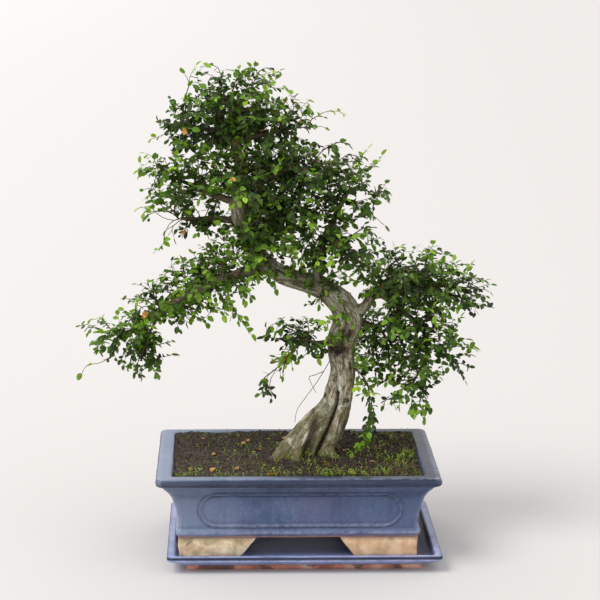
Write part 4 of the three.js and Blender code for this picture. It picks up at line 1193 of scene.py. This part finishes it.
# Rough tubes of the thick wood, the lines that they follow, and the thin lines that go on from them.
def wood_lines():
    rough, thick, thin = Sheet(), [], []
    for rows_of_kind, kind, seed in ((TRUNK_LINES, "trunk", 3), (ROOT_LINES, "root", 13)):
        steps, sides, flute = KINDS[kind]
        for number, rows in enumerate(rows_of_kind):
            thick.append(smooth_line(rows, steps))
            rough.add(*tube(thick[-1], sides, flute, seed + number))
    steps, sides, flute = KINDS["limb"]
    for number, rows in enumerate(LIMB_LINES.values()):
        line = smooth_line(rows, steps)
        sway = [noise(line[:, :3] / 24 + 9 * axis, 60 + axis) for axis in range(3)]
        line[:, :3] += WOOD["sway"] * np.column_stack(sway)
        keep = int((line[:, 3] > WOOD["thick"]).sum())
        if keep > 8:
            thick.append(line[:keep + 1])
            rough.add(*tube(thick[-1], sides, flute, 30 + number))
            line = line[keep - 4:]
        thin.append(line)
    return rough, thick, thin


# Carves cracks, plates, furrows and knots into the skin. Also returns the painted shade of its hollows and
# cracks,
# and its marks: above 0 on knots, below 0 on pale patches.
def carved(points, normals, around, run, radius):
    power = np.clip(radius / 15, 0.2, 1.15)
    ring = around * radius[:, None]
    crack = rise(np.abs(fractal(np.column_stack([ring / 7, run / 44]), 3, 71)), 0.13, 0)
    plates = noise(np.column_stack([ring / 9, run / 19]), 77)
    lobes = noise(np.column_stack([around * 1.6, run / 130]), 79)
    plates = np.sign(plates) * np.abs(plates) ** 0.5
    move = power * (CARVING["lobes"] * lobes + CARVING["plates"] * plates - CARVING["cracks"] * crack)
    move += CARVING["fine"] * power * fractal(points / 3.0, 2, 81)
    # Painted shade: cracks and furrows are darkened in colour as well as carved.
    hollow_shade = 0.55 * crack * np.clip(power, 0, 1)
    for places, reach, depth, furrow_shade in FURROWS:
        share = on_front(points, normals, places, reach)
        move -= depth * share
        hollow_shade = np.maximum(hollow_shade, furrow_shade * np.clip(1.4 * share - 0.1, 0, 1))
    marks = np.zeros(len(points))
    ragged = fractal(points / 6, 2, 88)
    for spot, reach in KNOTS:
        share = np.clip(1.8 * on_front(points, normals, [spot], reach) - 0.35 - 0.6 * ragged, 0, 1)
        move += CARVING["knots"] * share * fractal(points / 4.5, 2, 90) * min(1, reach / 12)
        marks = np.maximum(marks, share)
    for spot, reach in PALE:
        share = np.clip(1.6 * on_front(points, normals, [spot], reach) - 0.2 - 0.8 * np.abs(ragged), 0, 1)
        marks = np.where(marks > 0.05, marks, np.minimum(marks, -share))
    return points + normals * move[:, None], hollow_shade, marks


def make_trunk():
    rough, thick, thin = wood_lines()
    points, normals, triangles = melted(rough, WOOD["voxel"])
    around, run, radius = beside(points, thick)
    points, hollow_shade, marks = carved(points, normals, around, run, radius)
    grain, share = bark_values(around, run, radius)
    sheet = Sheet("bark", "grain")
    sheet.add(points, triangles, bark=np.column_stack([hollow_shade, share, marks]), grain=grain)
    for number, line in enumerate(thin):
        line[:, 3] = np.maximum(line[:, 3] * np.interp(line[:, 3], (1.6, 4.5), (0.55, 1.0)), 0.8)
        add_wood(sheet, line, 8, 50 + number)
    for places, start in DEAD_TWIGS:
        radii = np.linspace(start, 0.35, len(places))
        add_wood(sheet, smooth_line(np.column_stack([places, radii]), 5), 5, 0)
    return sheet.mesh("trunk_wood")


# A thin limb or a twig, with bark that follows it.
def add_wood(sheet, line, sides, seed):
    corners, faces = tube(line, sides, 0.1, seed)
    run = np.append(np.repeat(np.arange(len(line)) * 3.0, sides), (0, 0))
    radius = np.append(np.repeat(line[:, 3], sides), (2, 2))
    turn = np.append(np.tile(round_turns(sides), len(line)), (0, 0))
    grain, share = bark_values(directions(turn), run, radius)
    sheet.add(corners, faces, bark=np.column_stack([0 * share + 0.1, share, 0 * share]), grain=grain)


# Triangles of one leaf: a fan at the stalk, two bands between rows, and a fan at the tip.
def leaf_triangles():
    rows = len(LEAF_ROWS)
    faces = [(0, 1, 2), (0, 2, 3)]
    for row in range(rows - 1):
        a, b = 1 + 3 * row, 4 + 3 * row
        faces += [(a, b, b + 1), (a, b + 1, a + 1), (a + 1, b + 1, b + 2), (a + 1, b + 2, a + 2)]
    last, tip = 3 * rows - 2, 3 * rows + 1
    return np.array(faces + [(last, tip, last + 1), (last + 1, tip, last + 2)])


LEAF_FACES = leaf_triangles()


# Many leaves at once: where each starts, the way it points, the way it faces, its length and its colour.
def add_leaves(sheet, start, heading, facing, long, tint, random, wide=LEAVES["wide"]):
    count = len(start)
    heading = unit(heading)
    side = unit(np.cross(heading, facing))
    facing = np.cross(side, heading)
    fold = random.uniform(*LEAVES["fold"], count)
    curl = random.uniform(*LEAVES["curl"], count)
    sway = random.normal(0, LEAVES["sway"], count)
    run = np.array([0, *np.repeat([row[0] for row in LEAF_ROWS], 3), 1.0])
    half = np.array([0, *np.concatenate([(-row[1], 0, row[1]) for row in LEAF_ROWS]), 0])
    across = half * wide / 2
    lift = np.abs(across) * fold[:, None] - run ** 2 * curl[:, None]
    drift = across[None, :] + np.sin(run * math.pi)[None, :] * sway[:, None]
    points = start[:, None] + long[:, None, None] * (
        run[None, :, None] * heading[:, None]
        + drift[..., None] * side[:, None]
        + lift[..., None] * facing[:, None])
    size = len(run)
    triangles = LEAF_FACES[None] + size * np.arange(count)[:, None, None]
    blade = np.tile(np.column_stack([run, np.sign(half), run]), (count, 1))
    sheet.add(points, triangles, 1, tint=np.repeat(tint, size, axis=0), blade=blade)


# Grows twigs from a start to the wanted places, the nearest first. Each leaves the best twig so far.
def grow(start, along, wants, random):
    nodes, ways = [np.array(start, float)], [unit(np.array(along, float))]
    parents, reach, chains = [-1], [0.0], []
    for want in wants[np.argsort(np.linalg.norm(wants - start, axis=1))]:
        spots = np.array(nodes)
        gap = want - spots
        distance = np.linalg.norm(gap, axis=1)
        turn = 1 - (unit(gap) * np.array(ways)).sum(1)
        best = int(np.argmin(distance * (1 + 0.5 * turn) + 0.32 * np.array(reach)))
        length = distance[best]
        if length < TWIGS["shortest"]:
            continue
        steps = max(2, math.ceil(length / TWIGS["step"]))
        bend = spots[best] + ways[best] * length * 0.38 + gap[best] * 0.18
        bend = bend + random.normal(0, 0.035 * length, 3) + UP * 0.05 * length
        chain = [best]
        for share in np.arange(1, steps + 1) / steps:
            spot = (1 - share) ** 2 * spots[best] + 2 * share * (1 - share) * bend + share ** 2 * want
            spot = spot + random.normal(0, 0.4, 3)
            parents.append(chain[-1])
            ways.append(unit(spot - nodes[chain[-1]]))
            reach.append(reach[chain[-1]] + np.linalg.norm(spot - nodes[chain[-1]]))
            nodes.append(spot)
            chain.append(len(nodes) - 1)
        chains.append(chain)
    return np.array(nodes), parents, chains


# How thick each twig is, from the number of tips that it carries.
def twig_radii(count, parents, chains):
    load = np.zeros(count)
    for chain in chains:
        load[chain[-1]] += 1
    for index in range(count - 1, 0, -1):
        load[parents[index]] += load[index]
    return TWIGS["tip"] * np.maximum(load, 1) ** TWIGS["power"]


# Which places lie in a gap. The gaps have ragged edges.
def in_gap(spots):
    inside = np.zeros(len(spots), bool)
    ragged = 1 + 0.9 * fractal(spots * (1, 0.3, 1) / 22, 2, 15)
    for x, z, half_x, half_z in GAPS:
        away = ((spots[:, 0] - x) / half_x) ** 2 + ((spots[:, 2] - z) / half_z) ** 2
        inside |= away < ragged
    return inside


# Leaves by turns along one twig, often smaller towards its tip, and brighter there if it is fresh.
def twig_leaves(points, centre, half, fresh, lush, random):
    lengths = distances(points)
    total = lengths[-1]
    first, pitch = LEAVES["bare"] * random.uniform(0.6, 1.6), LEAVES["spacing"] * random.uniform(0.9, 1.2)
    places = np.arange(first, total - 1, pitch)
    places = np.append(places + random.normal(0, 0.8, len(places)), total)
    count = len(places)
    spots = along_line(points, lengths, places)
    ahead = unit(along_line(points, lengths, places + 2) - along_line(points, lengths, places - 2))
    out = unit((spots - centre) / half ** 2)
    up = unit(UP * 0.9 + out * 0.6 + random.normal(0, 0.42, (count, 3)))
    side = unit(np.cross(ahead, up)) * np.where(np.arange(count) % 2, 1, -1)[:, None]
    angle = np.radians(random.normal(LEAVES["angle"], 13, count))
    angle[-1] = 0.12
    heading = ahead * np.cos(angle)[:, None] + side * np.sin(angle)[:, None]
    heading[:, 2] -= random.uniform(-0.1, 0.5, count)
    tip = np.clip(1 - (total - places) / 30, 0, 1)
    outer = np.clip(np.linalg.norm((spots - centre) / half, axis=1) - 0.5, 0, 0.6) / 0.6
    high = np.clip((spots[:, 2] - centre[2]) / half[2], -1, 1)
    young = YOUTH["inside"] + YOUTH["outside"] * outer + YOUTH["high"] * high
    young += tip * YOUTH["fresh_tip" if fresh else "tip"] * (0.35 + 0.65 * outer)
    young += random.normal(0, YOUTH["spread"], count) + YOUTH["patches"] * fractal(spots / 45, 2, 7) + lush
    dry = (random.random(count) < YOUTH["dry"]) * 1.0
    size = random.uniform(*LEAVES["long"], count) * (1 - 0.2 * tip * (random.random(count) < 0.5))
    tint = np.column_stack([np.clip(young, 0, 1), random.uniform(0.2, 0.85, count), dry])
    free = ~in_gap(spots + heading * size[:, None] * 0.5)
    free[-1] = True
    return spots[free], heading[free], up[free], size[free], tint[free]


# Twigs and leaves of one spray. Each root is a start, a direction and the places that it grows to.
def dress_spray(roots, centre, half, random, wide):
    sheet = Sheet("tint", "blade", "bark", "grain")
    parts = []
    for start, along, wants, lush in roots:
        nodes, parents, chains = grow(start, along, wants, random)
        radii = twig_radii(len(nodes), parents, chains)
        for chain in chains:
            radius = radii[chain]
            radius[0] = radius[1] * 1.1
            fresh = random.random() < 0.45 + lush
            green = fresh and radius.max() < 0.62
            tint = (0.75, 0.6, 0) if green else (0, 0, 0)
            line = np.column_stack([nodes[chain], radius])
            bark = (0.1, np.clip(radius.max() / 6 - 0.3, 0, 1), 0)
            sheet.add(*tube(line, 4), int(green), tint=tint, bark=bark)
            parts.append(twig_leaves(nodes[chain], centre, half, fresh, lush, random))
    add_leaves(sheet, *(np.concatenate(part) for part in zip(*parts)), random, wide)
    return sheet


# A limb's smooth line, and how far along it each of its points lies.
def measured(rows):
    line = smooth_line(rows, 6)
    return line, distances(line[:, :3])


# A place on a line, measured back from a share of its length, and the line's direction there.
def place_on(rows, fraction, back):
    line, lengths = measured(rows)
    return spot_on(line, lengths, max(0, fraction * lengths[-1] - back))


# Places that a spray's twigs reach: its share of the pad, thickest towards the outside.
def wanted(centre, half, outward, spray, sprays, share_of_tips, random):
    litres = 4 / 3 * math.pi * np.prod(half) / 1e6 / sprays
    count = max(TWIGS["least"], round(TWIGS["per_litre"] * litres * share_of_tips))
    share = (np.arange(count) * 0.618 + random.random()) % 1
    turn = outward + 2 * math.pi * ((spray + share) / sprays - 0.25)
    level = random.uniform(-0.8, 0.95, count)
    depth = random.uniform(0.08, 1.02, count) ** (1 / 2.1)
    flat = np.sqrt(1 - level ** 2)
    ball = np.column_stack([directions(turn) * flat[:, None], level])
    spots = centre + ball * depth[:, None] * half
    return spots[~in_gap(spots)]


# Short leafy twigs straight from the thin part of a limb.
def sprouts(rows, random):
    line, lengths = measured(rows)
    roots = []
    for run in np.arange(6, lengths[-1], SPROUTS["pitch"]):
        if np.interp(run, lengths, line[:, 3]) > SPROUTS["thin"]:
            continue
        spot, ahead = spot_on(line, lengths, run)
        way = unit(random.normal(0, 1, 3) + (0, -0.25, 0.25) + 0.5 * ahead)
        reach = random.uniform(*SPROUTS["long"])
        wants = spot + way * reach + random.normal(0, 0.28 * reach, (3, 3))
        roots.append((spot, way, wants, 0.0))
    return roots


# Shoots that leave the front of the trunk with a few leaves each.
def front_shoots(starts, random):
    roots = []
    for start in np.array(starts, float):
        way = unit(np.array([random.normal(0, 0.7), -1.0, random.normal(0.1, 0.5)]))
        wants = start + way * random.uniform(12, 20) + random.normal(0, 9, (4, 3)) * (1, 0.4, 1)
        roots.append((start, way, wants, random.uniform(-0.1, 0.2)))
    return roots


def make_foliage():
    lines = {"main": TRUNK_LINES[0], **LIMB_LINES}
    covered = {"main"}
    for pad, (name, (limb, place, centre, half, sprays)) in enumerate(PADS.items()):
        centre, half = np.array(centre, float), np.array(half, float)
        _, ahead = place_on(lines[limb], place, 0)
        outward = math.atan2(ahead[1], ahead[0])
        tips, youth = THINNED.get(name, (1.0, 0.0))
        wide, sprig_youth = HANGING if name == "hanging" else (LEAVES["wide"], LEAVES["sprig_youth"])
        for spray in range(sprays):
            random = np.random.default_rng(500 + pad * 10 + spray)
            start, along = place_on(lines[limb], place, spray * TWIGS["apart"])
            roots = [(start, along, wanted(centre, half, outward, spray, sprays, tips, random), youth)]
            if spray == 0:
                if name in SPRIGS:
                    far = np.array(SPRIGS[name], float)
                    nearer = centre + (far - centre) * 0.72
                    roots.append((start, along, np.vstack([far, nearer]), sprig_youth))
                roots += front_shoots(SHOOTS.get(name, []), random)
                if limb not in covered:
                    covered.add(limb)
                    roots += sprouts(lines[limb], random)
            node = f"spray_{name}_{spray + 1}" if sprays > 1 else f"spray_{name}"
            sheet = dress_spray(roots, centre, half, random, wide)
            add_piece("fine_" + node, sheet.mesh(node), [BARK, LEAF], "leaf", node)


def make_floor():
    paint = Paint("studio_floor", 0.8, Specular_IOR_Level=0.1)
    x, y, _ = paint.split(paint.place)
    # Painted light: the floor grows lighter to the left and far back.
    slope = paint.minus(paint.times(y, 0.25), paint.times(x, 3.2))
    slope = paint.plus(slope, paint.times(paint.noise(0.4, 2), 0.3))
    colour = paint.ramp(paint.span(slope, -2.0, 8.0), *zip((0.0, 1.0), FLOOR_PAINTED_LIGHT))
    material = paint.finish(colour, None, paint.noise(400, 3), 0.02, 0.1)
    sheet = Sheet()
    corners = np.array([(-1, -1, 0), (1, -1, 0), (1, 1, 0), (-1, 1, 0)])
    sheet.add(corners * FLOOR_REACH, [(0, 1, 2), (0, 2, 3)])
    add_object("studio_floor", sheet.mesh("studio_floor"), [material])


def make_light():
    world = bpy.data.worlds.new("studio")
    world.use_nodes = True
    background = world.node_tree.nodes["Background"]
    for name, value in zip(("Color", "Strength"), SKY):
        background.inputs[name].default_value = value
    bpy.context.scene.world = world
    for name, (way, spread, power, colour) in SUNS.items():
        data = bpy.data.lights.new(name, "SUN")
        data.angle = math.radians(spread)
        data.energy = power
        data.color = colour
        lamp = add_object(name, data)
        lamp.rotation_euler = Vector(way).to_track_quat("-Z", "Y").to_euler()


def make_camera():
    data = bpy.data.cameras.new("camera")
    data.lens = CAMERA["lens"]
    data.sensor_width = 36
    data.clip_end = 200
    camera = add_object("camera", data)
    axes = Matrix([CAMERA["right"], CAMERA["up"], [-part for part in CAMERA["forward"]]]).transposed()
    camera.matrix_world = Matrix.Translation(CAMERA["place"]) @ axes.to_4x4()
    bpy.context.scene.camera = camera


make_camera()
make_light()
make_floor()
add_piece("glazed_pot", make_pot(), [GLAZE], "pot_glaze", "pot")
add_piece("drip_tray", make_tray(), [TRAY_GLAZE], "tray_glaze", "tray")
add_piece("potting_soil", make_soil(), [EARTH, LEAF], "soil", "soil")
add_piece("trunk_and_limbs", make_trunk(), [BARK], "bark", "trunk")
make_foliage()
for node in ("drain_screen_left", "drain_screen_right"):
    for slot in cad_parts[node].material_slots:
        slot.material = SCREEN

bpy.context.scene.view_settings.view_transform = "Standard"
